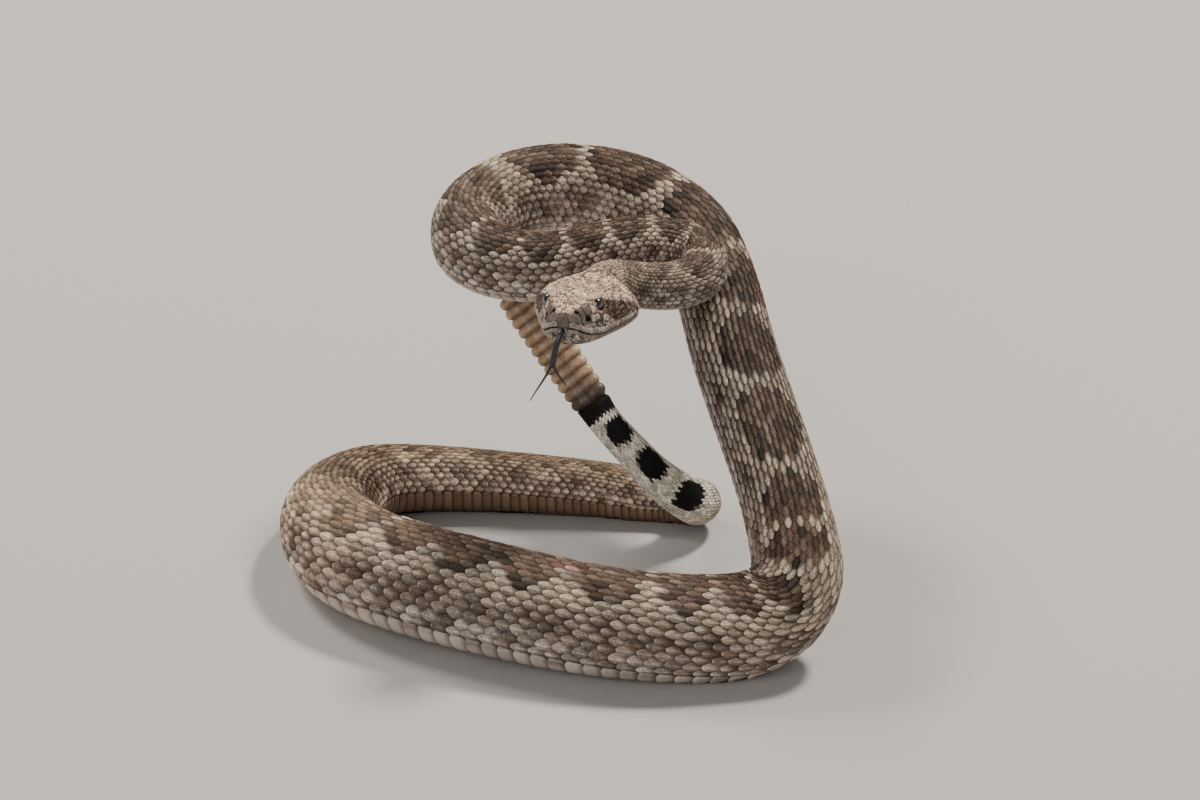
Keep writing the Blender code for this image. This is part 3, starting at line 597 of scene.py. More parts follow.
def skin_material(name, roughness, grain_mm, grain, bump_mm, shine=0.13):
    """Colour from the markings and painted shading, with fine grain in it, and a faintly rough surface."""
    made, tree, shader = plain_material(name, Roughness=roughness, Specular_IOR_Level=shine)
    where = add_node(tree, "ShaderNodeTexCoord").outputs["Object"]
    colour = add_node(tree, "ShaderNodeAttribute", attribute_name="pattern_and_shading").outputs["Color"]
    heights = []
    for size, detail, spread in ((grain_mm, 4.0, grain), (grain_mm * 7, 2.0, grain * 0.5)):
        noise = add_node(tree, "ShaderNodeTexNoise", Vector=where, Scale=1 / (size * MM), Detail=detail)
        heights.append(noise.outputs["Fac"])
        darkest, lightest = 1 - spread, 1 + spread * 0.75
        level = add_node(
            tree, "ShaderNodeMapRange",
            Value=heights[-1], From_Min=0.32, From_Max=0.68, To_Min=darkest, To_Max=lightest,
        )
        grained = add_node(
            tree, "ShaderNodeVectorMath", operation="SCALE", Vector=colour, Scale=level.outputs["Result"]
        )
        colour = grained.outputs["Vector"]
    tree.links.new(colour, shader.inputs["Base Color"])
    relief = add_node(tree, "ShaderNodeBump", Height=heights[0], Distance=bump_mm * MM, Strength=0.6)
    tree.links.new(relief.outputs["Normal"], shader.inputs["Normal"])
    return made


def put_on(mesh, material, slot, nodes=(), colour=None, uv=None):
    """Makes a mesh a piece of the animal, with its markings and painted shading by point and its bake map by
    point.
    """
    if uv is not None:
        corners = np.zeros(len(mesh.loops), np.int32)
        mesh.loops.foreach_get("vertex_index", corners)
        mesh.uv_layers.new(name="OFBake").data.foreach_set("uv", uv[corners].astype(np.float32).ravel())
    if colour is not None:
        rgba = np.concatenate([to_linear(colour), np.ones((len(colour), 1))], axis=1)
        paint = mesh.color_attributes.new("pattern_and_shading", "FLOAT_COLOR", "POINT")
        paint.data.foreach_set("color", rgba.astype(np.float32).ravel())
    mesh.materials.append(material)
    mesh.shade_smooth()
    made = bpy.data.objects.new(mesh.name, mesh)
    bpy.context.scene.collection.objects.link(made)
    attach(made, "root")
    if nodes:
        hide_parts(*nodes)


def piece(name, points, quads, tris, material, slot, **more):
    """A piece from arrays: points in millimetres, and faces."""
    mesh = bpy.data.meshes.new(name)
    mesh.vertices.add(len(points))
    mesh.vertices.foreach_set("co", (points * MM).astype(np.float32).ravel())
    corners = np.concatenate([quads.ravel(), tris.ravel()]).astype(np.int32)
    starts = np.concatenate([np.arange(len(quads)) * 4, len(quads) * 4 + np.arange(len(tris)) * 3])
    mesh.loops.add(len(corners))
    mesh.loops.foreach_set("vertex_index", corners)
    mesh.polygons.add(len(starts))
    mesh.polygons.foreach_set("loop_start", starts.astype(np.int32))
    mesh.update(calc_edges=True)
    put_on(mesh, material, slot, **more)


def make_skin():
    turn = np.arange(SKIN_AROUND) / SKIN_AROUND
    q = turn * 4 - 2
    angle = q * math.pi / 2
    rings, colours, maps = [], [], []
    for u in [*np.linspace(0, 26, 66), *np.linspace(26.6, HEAD_LENGTH - 0.8, 44)]:
        at = np.full(SKIN_AROUND, u)
        rings.append(head_points(at, q, np.full(SKIN_AROUND, -COAT_ON_HEAD)))
        # The head's skin is darkened as painted shade under its scales.
        colours.append(head_pattern_and_shading(head_local(at, q)) * 0.6)
        maps.append(bake_place(at - HEAD_LENGTH, turn))
    tip = TAIL_TIP - np.array([2.2, 1.6, 1.0, 0.4])
    for s in [*np.arange(0.4, TAIL_TIP - TIP_REACH, SKIN_STEP), *tip]:
        at = np.full(SKIN_AROUND, s)
        rings.append(body_points(at, angle, -coat_depth(at) - tip_taper(at)))
        colour, _, _ = body_pattern_and_shading(at, np.degrees(angle))
        # The body's skin is darkened towards dark brown as painted shade under the scales, less on the white
        # tail.
        on_tail = ramp(at, TAIL_START - 10, TAIL_START + 10)
        colours.append(mix(colour * (0.5 + 0.35 * on_tail[:, None]), SHADE_BETWEEN_SCALES, 0.25 * (1 - on_tail)))
        maps.append(bake_place(at, turn))
    # Each end is closed on a middle point.
    points = np.vstack([*rings, rings[0].mean(0), rings[-1].mean(0)])
    front, rear = len(points) - 2, len(points) - 1
    tris = np.vstack([fan(0, SKIN_AROUND, front, turned=True), fan(front - SKIN_AROUND, SKIN_AROUND, rear)])
    piece(
        "skin", points, ring_quads(len(rings), SKIN_AROUND), tris,
        # Dry bare skin, matt and finely wrinkled, its colour darkened as painted shade under the scales over
        # it.
        skin_material("skin_between_scales", 0.7, 0.8, 0.25, 0.05), "body", nodes=FLESH_NODES,
        colour=np.vstack([*colours, colours[0][0], colours[-1][0]]),
        uv=np.vstack([*maps, maps[0][0], maps[-1][0]]),
    )


make_skin()

# The back and flank scales
# Twenty-five rows of keeled scales, each row half a scale on from the next, longer and further
# apart where the skin is stretched over the column. Each one is a closed plate: it starts under
# its neighbours, widens, carries a low keel and ends in a free rounded edge towards the tail.
RNG = np.random.default_rng(7)
SCALE_ALONG = np.array([0.0, 0.2, 0.38, 0.56, 0.74, 0.88, 0.96, 1.0])
SCALE_WIDE = np.array([0.42, 0.72, 0.93, 1.0, 0.92, 0.69, 0.42, 0.14])
SCALE_RISE = np.array([-0.25, 0.05, 0.34, 0.62, 0.86, 1.0, 0.92, 0.45])
SCALE_ACROSS = np.array([-1.0, -0.84, -0.2, 0.0, 0.2, 0.84, 1.0])
SCALE_CROSS_RISE = np.array([0.36, 0.78, 0.86, 0.9, 0.86, 0.78, 0.36])
SCALE_KEEL = 0.42
# How far the body goes for each step of scales, by its half width: the steps are closer together
# where the column turns on to the floor.
PITCH_BY_WIDTH = ([5, 8, 9, 10, 13, 17, 19, 22, 27], [2.3, 2.5, 2.5, 2.7, 3.9, 5.1, 5.8, 6.8, 7.3])
TIGHT_BEND, BEND_REACH = 518, 26
# The size of each scale's own patch on the bake map.
PATCH = 0.0030


def plate_template(along, wide, rise, across, cross_rise, keel=0.0):
    """Unit plate: place along and across, height, quads of its top and triangles under it."""
    rows, columns = len(along), len(across)
    a = np.repeat(along, columns)
    b = np.tile(across, rows) * np.repeat(wide, columns)
    on_keel = np.tile(np.abs(across) < 0.05, rows) * np.sin(np.pi * np.clip(a, 0.06, 0.97)) ** 0.5
    h = np.outer(rise, cross_rise).ravel() + keel * on_keel
    k = (np.arange(rows - 1)[:, None] * columns + np.arange(columns - 1)).ravel()
    quads = np.stack([k, k + 1, k + columns + 1, k + columns], -1)
    grid = np.arange(rows * columns).reshape(rows, columns)
    rim = np.concatenate([grid[0], grid[1:, -1], grid[-1, -2::-1], grid[-2:0:-1, 0]])
    under = np.full(len(rim), rows * columns)
    tris = np.stack([np.roll(rim, -1), rim, under], -1)
    return np.append(a, 0.5), np.append(b, 0.0), np.append(h, -0.5), quads, tris


def scale_piece(name, template, points, colour, root_uv, material, slot, patch=PATCH, shift=0.0):
    """Many plates of one template as one piece, each baked on a patch at its root's place."""
    a, b, _, quads, tris = template
    first = (np.arange(len(root_uv)) * len(a))[:, None, None]
    uv = root_uv[:, None] + np.stack([a - 0.5, b * 0.5 + shift], -1) * patch
    piece(
        name, points, (first + quads).reshape(-1, 4), (first + tris).reshape(-1, 3),
        material, slot, colour=colour.reshape(-1, 3), uv=uv.reshape(-1, 2),
    )


def stretched(s):
    """How far the skin is stretched, from 0 to 1, over the column."""
    return ramp(s, COLUMN[0], COLUMN[0] + 40) * fall(s, COLUMN[1] - 25, COLUMN[1])


def stations():
    """Distances of the rows of scutes, one to each step of the back scales."""
    found = [0.6]
    while found[-1] < TAIL_TIP - 1.0:
        s = found[-1]
        pitch = float(np.interp(half_width(s), *PITCH_BY_WIDTH))
        closer = 1 + 0.04 * float(stretched(s)) - 0.32 * float(bump(s - TIGHT_BEND, BEND_REACH))
        found.append(s + pitch * closer)
    return np.array(found[:-1])


STATIONS = stations()


def scale_colours(root, length, centre_deg, unit_a, unit_b):
    """One tone to a scale, with painted shade where the scales before it lie over it, a pale edge
    round its free end that is partly painted highlight and partly the white rims of the pattern,
    and a painted highlight along its keel."""
    count = len(root)
    from_back = np.abs(centre_deg)
    rear = ramp(root, *REAR_START)
    tone, white, in_diamond = body_pattern_and_shading(root + 0.5 * length, centre_deg)
    tone = tone * RNG.uniform(0.82, 1.14, count)[:, None]
    blot = (RNG.uniform(0, 1, count) < 0.28) & (in_diamond > 0.5)
    tone = np.where(blot[:, None], tone * 0.76, tone)
    dusty = (RNG.uniform(0, 1, count) < 0.3) & (in_diamond > 0.5)
    tone = mix(tone, GROUND, 0.35 * dusty)
    smudged = (RNG.uniform(0, 1, count) < 0.24 + 0.4 * rear) & (from_back > 50) & (from_back < 112)
    smudged &= root < TAIL_START - 10
    tone = mix(tone, WHITE_RIM, white * 0.14)
    across = np.abs(unit_b) / np.interp(unit_a, SCALE_ALONG, SCALE_WIDE)
    clear = unit_a - 0.30 - 0.30 * across**1.6
    # The painted shade is deeper under the small scales of the neck.
    floor_shade = 0.54 - 0.16 * fall(float(half_width(root.mean())), 11, 15)
    shade = floor_shade + (1 - floor_shade) * ramp(clear, -0.06, 0.24)
    # A painted highlight along the keel.
    shade = shade * (0.93 + 0.27 * bump(across, 0.15) * ramp(unit_a, 0.25, 0.45))
    # The painted shade and keel highlight are weaker inside the diamonds, on the white tail and behind
    # the head, so the scales show less one by one there.
    even = 0.22 * in_diamond + 0.72 * ramp(root, TAIL_START - 10, TAIL_START + 10)
    even = np.clip(even + 0.9 * fall(root, 0.4, 3.6), 0, 0.9)[:, None]
    shade = shade[None] * (1 - even) + 0.92 * even
    colour = tone[:, None] * shade[:, :, None]
    smudge = smudged[:, None] * (1 - ramp(clear, 0.1, 0.5))
    colour = mix(colour, FLANK_MARK * 0.8, 0.75 * smudge)
    rear_flank = rear * fall(root, 960, 985) * bump(from_back - 82, 26)
    # The pale free edge is partly painted highlight, weaker inside the diamonds, and partly the white rims of
    # the pattern and the pale spots of the rear flank.
    pale = (0.36 + 0.42 * white - 0.12 * in_diamond + 0.34 * rear_flank) * ramp(tone.mean(-1), 0.08, 0.3)
    rim = np.maximum(ramp(across, 0.8, 1.0) * ramp(unit_a, 0.4, 0.7), ramp(unit_a, 0.87, 0.97))
    return mix(colour, WHITE_RIM, np.clip(pale, 0, 1)[:, None] * rim)


def back_scales(name, first, last, material):
    """The scales of one stretch of the body as one piece."""
    template = plate_template(SCALE_ALONG, SCALE_WIDE, SCALE_RISE, SCALE_ACROSS, SCALE_CROSS_RISE, SCALE_KEEL)
    unit_a, unit_b, unit_h = template[:3]
    outermost = ROWS // 2
    pitches = np.diff(np.append(STATIONS, TAIL_TIP))
    here = (STATIONS >= first) & (STATIONS < last)
    rows = np.tile(np.arange(-outermost, outermost + 1), here.sum())
    pitch = np.repeat(pitches[here], ROWS)
    root = np.repeat(STATIONS[here], ROWS) + np.where(rows % 2, 0.5 * pitch, 0.0)
    count = len(rows)
    stretch = stretched(root)
    length = pitch * (1.52 + 0.06 * stretch) * RNG.uniform(0.95, 1.05, count)
    length = np.minimum(length, TAIL_TIP - 0.3 - root)
    # The rows widen from the back to the belly.
    widening = np.abs(rows) / outermost
    step = ROW_STEP + (RAISED_STEP - ROW_STEP) * raised(root)
    overlap = 0.61 + 0.06 * ramp(np.abs(rows), 6, 12) - 0.16 * stretch
    half_deg = step * (0.88 + 0.24 * widening) * overlap * RNG.uniform(0.94, 1.06, count)
    centre_deg = rows * step * (0.88 + 0.12 * widening) + RNG.uniform(-0.5, 0.5, count)
    height = coat_depth(root) * RNG.uniform(0.92, 1.08, count)
    skew = RNG.uniform(-0.7, 0.7, count)
    s = root[:, None] - 0.12 * pitch[:, None] + unit_a * length[:, None]
    s = np.clip(s, 0.0, TAIL_TIP - 0.1)
    degrees = centre_deg[:, None] + unit_b * half_deg[:, None] + unit_a * skew[:, None]
    lift = unit_h * height[:, None] - coat_depth(root)[:, None] - tip_taper(s)
    scale_piece(
        name, template,
        body_points(s.ravel(), np.radians(degrees.ravel()), lift.ravel()),
        scale_colours(root, length, centre_deg, unit_a, unit_b),
        bake_place(root, (centre_deg + 180) / 360), material, "body",
    )


# Keratin: dry, finely ridged and speckled, with hardly any shine.
SCALE_SKIN = skin_material("keeled_scale", 0.58, 0.62, 0.55, 0.08)
back_scales("scales_neck_and_loop", -1, 210, SCALE_SKIN)
back_scales("scales_arch_and_column", 210, 470, SCALE_SKIN)
back_scales("scales_front_run", 470, 720, SCALE_SKIN)
back_scales("scales_rear_run", 720, 960, SCALE_SKIN)
back_scales("scales_tail", 960, TAIL_TIP, SCALE_SKIN)


# The belly scutes
# Broad smooth plates of the same keratin across the belly, one to each step of the back scales,
# each lapping over the next, with rounded ends that show as lobes along the floor.
SCUTE_HALF_DEG, RAISED_HALF_DEG = 71.0, 60.0


def belly_scutes():
    across = np.linspace(-1, 1, 19)
    along = np.array([0.0, 0.25, 0.5, 0.72, 0.9, 1.0])
    wide = np.array([0.88, 0.95, 1.0, 1.0, 0.96, 0.87])
    rise = np.array([-0.1, 0.25, 0.55, 0.8, 0.95, 0.5])
    template = plate_template(along, wide, rise, across, 1 - 0.6 * np.abs(across) ** 8)
    a, b, h = template[:3]
    root = STATIONS
    length = np.minimum(np.append(np.diff(root), 2.0) * 1.3, TAIL_TIP - 0.3 - root)
    s = np.clip(root[:, None] + a * length[:, None], 0, TAIL_TIP - 0.1)
    half_deg = SCUTE_HALF_DEG + (RAISED_HALF_DEG - SCUTE_HALF_DEG) * raised(root)
    degrees = 180 + b * half_deg[:, None]
    lift = coat_depth(root)[:, None] * (h * 1.05 - 1)
    middle = np.repeat(root + 0.5 * length, len(a))
    tone, _, _ = body_pattern_and_shading(middle, (degrees.ravel() + 180) % 360 - 180)
    tone = tone.reshape(len(root), len(a), 3) * RNG.uniform(0.9, 1.05, len(root))[:, None, None]
    # Painted shade where the scute before lies over it, and a little painted highlight near the free end.
    shade = 0.5 + 0.5 * ramp(a, 0.12, 0.5) + 0.08 * ramp(a, 0.8, 0.95)
    scale_piece(
        "belly_scutes", template,
        body_points(s.ravel(), np.radians(degrees.ravel()), lift.ravel()),
        tone * shade[:, None],
        bake_place(root, np.ones(len(root))),
        # Polished by the ground: smoother than the back, with a soft shine.
        skin_material("belly_scute", 0.42, 1.2, 0.15, 0.04), "body", shift=-0.5,
    )


belly_scutes()

# The plates of the snout and lips
# Smooth plates laid on the head: the one at the tip of the snout, those round the nostrils and
# pits, the rows along both lips, the ring round each eye and the ridge over it.
PLATES = []
# Each plate is a low cushion of four rings: share of its outline, of its rise and of its tone, which falls to
# painted shade at the sunken edge.
PLATE_RINGS = ((1.0, -0.3, 0.6), (0.97, 0.62, 0.86), (0.86, 0.95, 1.06), (0.45, 1.1, 0.98))
LIP_EDGES = np.array(
    [0.3, 1.8, 3.6, 5.6, 7.9, 10.2, 12.6, 15.0, 17.4, 19.9, 22.4, 25.0, 27.6, 30.3, 33.0, 35.6]
)
LIP_TALL = np.interp(LIP_EDGES, [0, 4, 6, 14, 24, 36], [2.2, 3.0, 3.1, 3.0, 2.9, 2.1])
# Corners (u, w) on the side of the snout: round the nostril, between it, the pit and the eye.
SNOUT_PLATES = [
    (
        [(0.1, 2.2), (3.2, 1.2), (3.4, 4.6), (2.7, 5.6), (2.7, 7.3), (1.2, 6.4), (0.1, 4.6)],
        0.36, SNOUT * 1.02,
    ),
    (
        [(3.5, 0.9), (5.3, 0.6), (5.5, 3.4), (6.0, 4.3), (5.9, 8.0), (4.0, 7.7), (3.7, 4.8)],
        0.36, SNOUT * 0.92,
    ),
    ([(6.3, 4.2), (9.0, 4.4), (9.2, 7.0), (8.4, 8.8), (6.1, 8.2)], 0.40, SNOUT),
    ([(9.5, 4.4), (11.4, 4.8), (11.6, 7.4), (9.6, 8.6)], 0.38, PALE_LINE * 0.92),
    ([(8.4, 0.6), (10.7, 0.8), (10.8, 4.0), (8.5, 3.9)], 0.36, PALE_LINE * 0.8),
    ([(11.1, 1.2), (13.4, 1.6), (12.6, 3.6), (11.1, 4.2)], 0.34, PALE_LINE * 0.9),
    ([(7.1, -1.0), (9.8, -1.4), (10.2, 0.4), (8.4, 0.3), (7.1, 0.8)], 0.34, SNOUT * 1.3),
    ([(4.1, -0.9), (6.8, -1.2), (6.9, 0.7), (5.3, 0.6), (4.1, 0.7)], 0.34, SNOUT * 1.15),
]
# Corners (v, w) on the front of the head: the snout's tip, the first of each lip and the chin.
FRONT_PLATES = [
    (
        [(-2.5, 0.35), (2.5, 0.35), (2.3, 3.0), (1.5, 5.6), (0.0, 6.3), (-1.5, 5.6), (-2.3, 3.0)],
        0.42, SNOUT * 0.92,
    ),
    ([(2.65, 0.35), (5.6, -0.1), (5.8, 1.7), (4.6, 2.6), (2.55, 2.4)], 0.36, LIP * 0.86),
    ([(-5.6, -0.1), (-2.65, 0.35), (-2.55, 2.4), (-4.6, 2.6), (-5.8, 1.7)], 0.36, LIP * 0.9),
    ([(-2.1, -0.35), (-1.0, -3.9), (1.0, -3.9), (2.1, -0.35)], 0.36, CHIN * 0.95),
    ([(2.25, -0.35), (1.2, -3.9), (3.6, -3.7), (5.4, -0.8)], 0.36, CHIN * 0.9),
    ([(-2.25, -0.35), (-5.4, -0.8), (-3.6, -3.7), (-1.2, -3.9)], 0.36, CHIN * 0.86),
]


def height_to_q(u, w):
    """The place round the head whose height above the mouth plane is w, at distance u."""
    q_values = np.linspace(0.02, 1.98, 197)
    heights = head_local(np.full(197, u), q_values)[:, 2]
    return float(np.interp(-w, -heights, q_values))


def plate(outline, rise, tone):
    """Keeps a plate whose outline is a list of (u, q) places, for the piece made below."""
    PLATES.append((np.array(outline, float), rise, tone))


def rounded(corners, steps=5, round_by=0.18):
    """The outline of a polygon with its corners cut round."""
    corners = np.array(corners, float)
    found = []
    for before, here, after in zip(np.roll(corners, 1, axis=0), corners, np.roll(corners, -1, axis=0)):
        start = here + (before - here) * round_by
        end = here + (after - here) * round_by
        for t in np.linspace(0, 1, steps):
            found.append((1 - t) ** 2 * start + 2 * t * (1 - t) * here + t**2 * end)
    return found


def side_plate(corners, side, rise, tone):
    """A plate given by (u, w) corners on one side of the head."""
    plate([(u, side * height_to_q(u, w)) for u, w in rounded(corners)], rise, tone)


def lip_rows(side):
    """The plates along the upper and lower lips of one side."""
    for i in range(len(LIP_EDGES) - 1):
        a, b = LIP_EDGES[i] + 0.05, LIP_EDGES[i + 1] - 0.05
        m_a, m_b = head_table(HEAD_MOUTH, a), head_table(HEAD_MOUTH, b)
        for way, gap, share, rise, tone, darkest in (
            (1, 0.14, 1.0, 0.3, LIP, 0.78),
            (-1, 0.14, 0.8, 0.28, CHIN, 0.82),
        ):
            near, far = way * gap, way * share * LIP_TALL[i : i + 2]
            corners = [(a, m_a + near), (b, m_b + near), (b, m_b + far[1]), (a, m_a + far[0])]
            side_plate(corners, side, rise, tone * RNG.uniform(darkest, 1.04))


def round_eye(side):
    """The ring of small scales round the eye, and the plate that stands over it as a ridge."""
    for turn in np.radians(np.arange(-205, 30, 19.5)):
        corners = []
        for reach, step in ((2.75, -0.15), (2.75, 0.15), (4.0, 0.145), (4.0, -0.145)):
            corners.append((EYE_BACK + reach * math.cos(turn + step), EYE_UP + reach * math.sin(turn + step)))
        light = 0.85 if math.cos(turn) < -0.2 else 0.62
        side_plate(corners, side, 0.42, LIT_CROWN * light * RNG.uniform(0.92, 1.06))
    outline = []
    for t in np.linspace(0, 2 * math.pi, 28, endpoint=False):
        u = EYE_BACK + 0.6 + 5.0 * math.cos(t)
        outer = height_to_q(u, head_table(HEAD_CROWN, u) - 1.5)
        inward = (2.3 - 2.3 * math.sin(t)) / np.interp(u, HEAD_U, UPPER_LENGTH)
        outline.append((u, side * (outer - inward)))
    plate(outline, 0.75, LIT_CROWN * 0.86)


def canthus_plates(side):
    """The plates along the sharp edge between the top of the snout and its side."""
    for first, last in ((0.9, 3.6), (3.9, 6.9), (7.2, 10.3)):
        outline = []
        for t in np.linspace(0, 2 * math.pi, 20, endpoint=False):
            back, out = (np.sign(x) * abs(x) ** 0.5 for x in (math.cos(t), math.sin(t)))
            u = (first + last) / 2 + (last - first) / 2 * back
            middle = height_to_q(u, head_table(HEAD_CROWN, u) - 0.5)
            outward = (1.35 * out - 0.5) / np.interp(u, HEAD_U, UPPER_LENGTH)
            outline.append((u, side * (middle + outward)))
        plate(outline, 0.5, LIT_CROWN * RNG.uniform(0.84, 0.96))


def plate_ring(ring, high, at_front):
    """Points of one ring of a plate: (v, w) places at the front of the head, (u, q) elsewhere."""
    if at_front:
        v, w = ring.T
        back = np.interp(np.abs(w), [0, 4.0, 6.2], [0, 0.1, 1.0])
        back = back + np.interp(np.abs(v), [0, 3.4, 6.0], [0, 0.1, 0.85])
        return head_world(np.stack([back - high, v, w], -1))
    u, q = ring.T
    return head_points(np.clip(u, 0, HEAD_LENGTH), q, np.full(len(ring), high - COAT_ON_HEAD))


def plates_piece():
    """All the plates as one piece: each one a low rounded cushion, closed underneath."""
    points, colours, maps, quads, tris = [], [], [], [], []
    start = 0
    jobs = [(outline, rise, tone, False) for outline, rise, tone in PLATES]
    jobs += [(np.array(rounded(corners)), rise, tone, True) for corners, rise, tone in FRONT_PLATES]
    for outline, rise, tone, at_front in jobs:
        # Outlines of the two sides are wound the same way, so that every face points outwards.
        ahead = np.roll(outline, -1, axis=0)
        area = (outline[:, 0] * ahead[:, 1] - ahead[:, 0] * outline[:, 1]).sum()
        if (area > 0) != at_front:
            outline = outline[::-1]
        middle, count = outline.mean(0), len(outline)
        u, q = (0.0, 0.0) if at_front else middle
        root_uv = bake_place(np.array([u - HEAD_LENGTH]), np.array([(q + 2) / 4]))
        for share, high, light in PLATE_RINGS:
            ring = middle + (outline - middle) * share
            points.append(plate_ring(ring, rise * high, at_front))
            colours.append(np.tile(tone * light, (count, 1)))
            maps.append(root_uv + (ring - middle) / 8 * PATCH)
        for high, light in ((1.12, 0.98), (-0.9, 0.6)):
            points.append(plate_ring(middle[None], rise * high, at_front))
            colours.append(tone[None] * light)
            maps.append(root_uv)
        top = start + len(PLATE_RINGS) * count
        quads.append(start + ring_quads(len(PLATE_RINGS), count))
        tris += [fan(top - count, count, top), fan(start, count, top + 1, turned=True)]
        start = top + 2
    piece(
        "head_plates", np.vstack(points), np.vstack(quads), np.vstack(tris),
        # Smooth keratin with a soft shine, mottled by fine dark specks.
        skin_material("head_plate", 0.45, 0.5, 0.45, 0.08), "head",
        colour=np.vstack(colours), uv=np.vstack(maps),
    )


for which in (-1, 1):
    lip_rows(which)
    for corners, rise, tone in SNOUT_PLATES:
        side_plate(corners, which, rise, tone)
    round_eye(which)
    canthus_plates(which)
plates_piece()


# The head's small scales
# Fine keeled grains over the crown, growing towards the cheeks and the neck, and smooth scales
# under the chin. They fill every place that no plate, eye, pit or nostril takes.
HEAD_SCALE_STEPS = [0, 8, 20, 36, 57]
CROWN_PITCH = [0.9, 1.0, 1.12, 1.55, 2.3]
CHIN_PITCH = [1.0, 1.4, 1.8, 2.2, 2.5]


def covered(points, outline):
    """Which of the points lie inside an outline."""
    found = np.zeros(len(points), bool)
    for a, b in zip(outline, np.roll(outline, -1, axis=0)):
        between = (a[1] > points[:, 1]) != (b[1] > points[:, 1])
        slope = (b[0] - a[0]) / (b[1] - a[1] if abs(b[1] - a[1]) > 1e-9 else 1e-9)
        found ^= between & (points[:, 0] < a[0] + (points[:, 1] - a[1]) * slope)
    return found


def head_spots():
    """A place for every small scale, in staggered rows: u, q, pitch, width, the length from the
    middle line to the lip there, and 1 above the mouth."""
    spots = []
    for above, lengths, pitches in ((1, UPPER_LENGTH, CROWN_PITCH), (0, LOWER_LENGTH, CHIN_PITCH)):
        u, index = 0.4, 0
        while u < HEAD_LENGTH + 0.4:
            pitch = float(np.interp(u, HEAD_SCALE_STEPS, pitches))
            total = float(np.interp(u, HEAD_U, lengths))
            wide = pitch * (0.86 if u < 40 else 0.8)
            rows = int(total / wide)
            for row in range(-rows - 1, rows + 2):
                t = (row + 0.5 * (index % 2)) * wide + RNG.uniform(-0.1, 0.1) * wide
                if abs(t) > total - (0.3 if u > 40 else 0.0):
                    continue
                q = t / total if above else math.copysign(2 - abs(t) / total, t)
                spots.append((u + RNG.uniform(-0.08, 0.08) * pitch, q, pitch, wide, total, above))
            index += 1
            u += pitch * 0.98
    return np.array(spots, float)


def head_scales():
    along, wide_along = np.array([0.0, 0.3, 0.62, 0.88, 1.0]), np.array([0.5, 0.9, 1.0, 0.74, 0.3])
    across, rise_across = np.array([-1.0, -0.6, 0.0, 0.6, 1.0]), np.array([0.3, 0.85, 1.0, 0.85, 0.3])
    rise = np.array([0.0, 0.6, 1.0, 0.9, 0.4])
    template = plate_template(along, wide_along, rise, across, rise_across, 0.15)
    a, b, h = template[:3]
    spots = head_spots()
    u, q = np.clip(spots[:, 0], 0, HEAD_LENGTH - 0.3), spots[:, 1]
    local = head_local(u, q)
    bare = (np.abs(local[:, 2] - head_table(HEAD_MOUTH, u)) < 0.3) & (u < 37)
    for (back, _, up, reach), wider, out in ((EYE, 0.1, 7.5), (PIT, 0.0, 6.0), (NOSTRIL, 0.0, 3.0)):
        bare |= (np.hypot(u - back, local[:, 2] - up) < reach + wider) & (np.abs(local[:, 1]) > out)
    for outline, _, _ in PLATES:
        bare |= covered(np.stack([u, q], -1), outline)
    for corners, _, _ in FRONT_PLATES:
        bare |= covered(local[:, 1:], np.array(corners, float)) & (u < 2.0)
    u, q, local = u[~bare], q[~bare], local[~bare]
    _, _, pitch, wide, total, above = spots[~bare].T
    count = len(u)
    length = pitch * 1.45 * RNG.uniform(0.92, 1.08, count)
    half_q = 0.62 * wide / total * RNG.uniform(0.92, 1.08, count)
    height = np.minimum(0.28 * wide, 0.55) * np.where(above > 0.5, 1.0, 0.6)
    at_u = np.maximum(u[:, None] + (a - 0.45) * length[:, None], 0).ravel()
    at_q = (q[:, None] + b * half_q[:, None]).ravel()
    lift = (h * height[:, None] - COAT_ON_HEAD).ravel()
    points = head_points(np.minimum(at_u, HEAD_LENGTH), at_q, lift)
    # The last of them lie over the first scales of the neck.
    on_neck = at_u > HEAD_LENGTH
    points[on_neck] = body_points(at_u[on_neck] - HEAD_LENGTH, np.radians(90 * at_q[on_neck]), lift[on_neck])
    tone = head_pattern_and_shading(local) * RNG.uniform(0.64, 1.38, count)[:, None]
    speck = (RNG.uniform(0, 1, count) < 0.24) & (above > 0.5)
    tone = np.where(speck[:, None], tone * 0.6, tone)
    # Painted shade at the covered roots, and a little painted highlight near the tips.
    shade = 0.5 + 0.5 * ramp(a, 0.2, 0.6) + 0.12 * ramp(a, 0.7, 0.95)
    scale_piece(
        "head_scales", template, points, tone[:, None] * shade[:, None],
        bake_place(u - HEAD_LENGTH, (q + 2) / 4),
        # The same dry keratin in grains too small to show a ridge of their own.
        skin_material("head_scale", 0.5, 0.45, 0.4, 0.06), "head", patch=PATCH * 0.8,
    )


head_scales()

# The eyes
# Glossy balls with a fine upright slit pupil in a grey-gold iris, set under the brow. The real
# ones have no lids: a clear scale, always moist to look at, covers each.
IRIS = hex_colour("5C5045")
SLIT_HALF_WIDTH, SLIT_HALF_HEIGHT = 0.14, 0.66


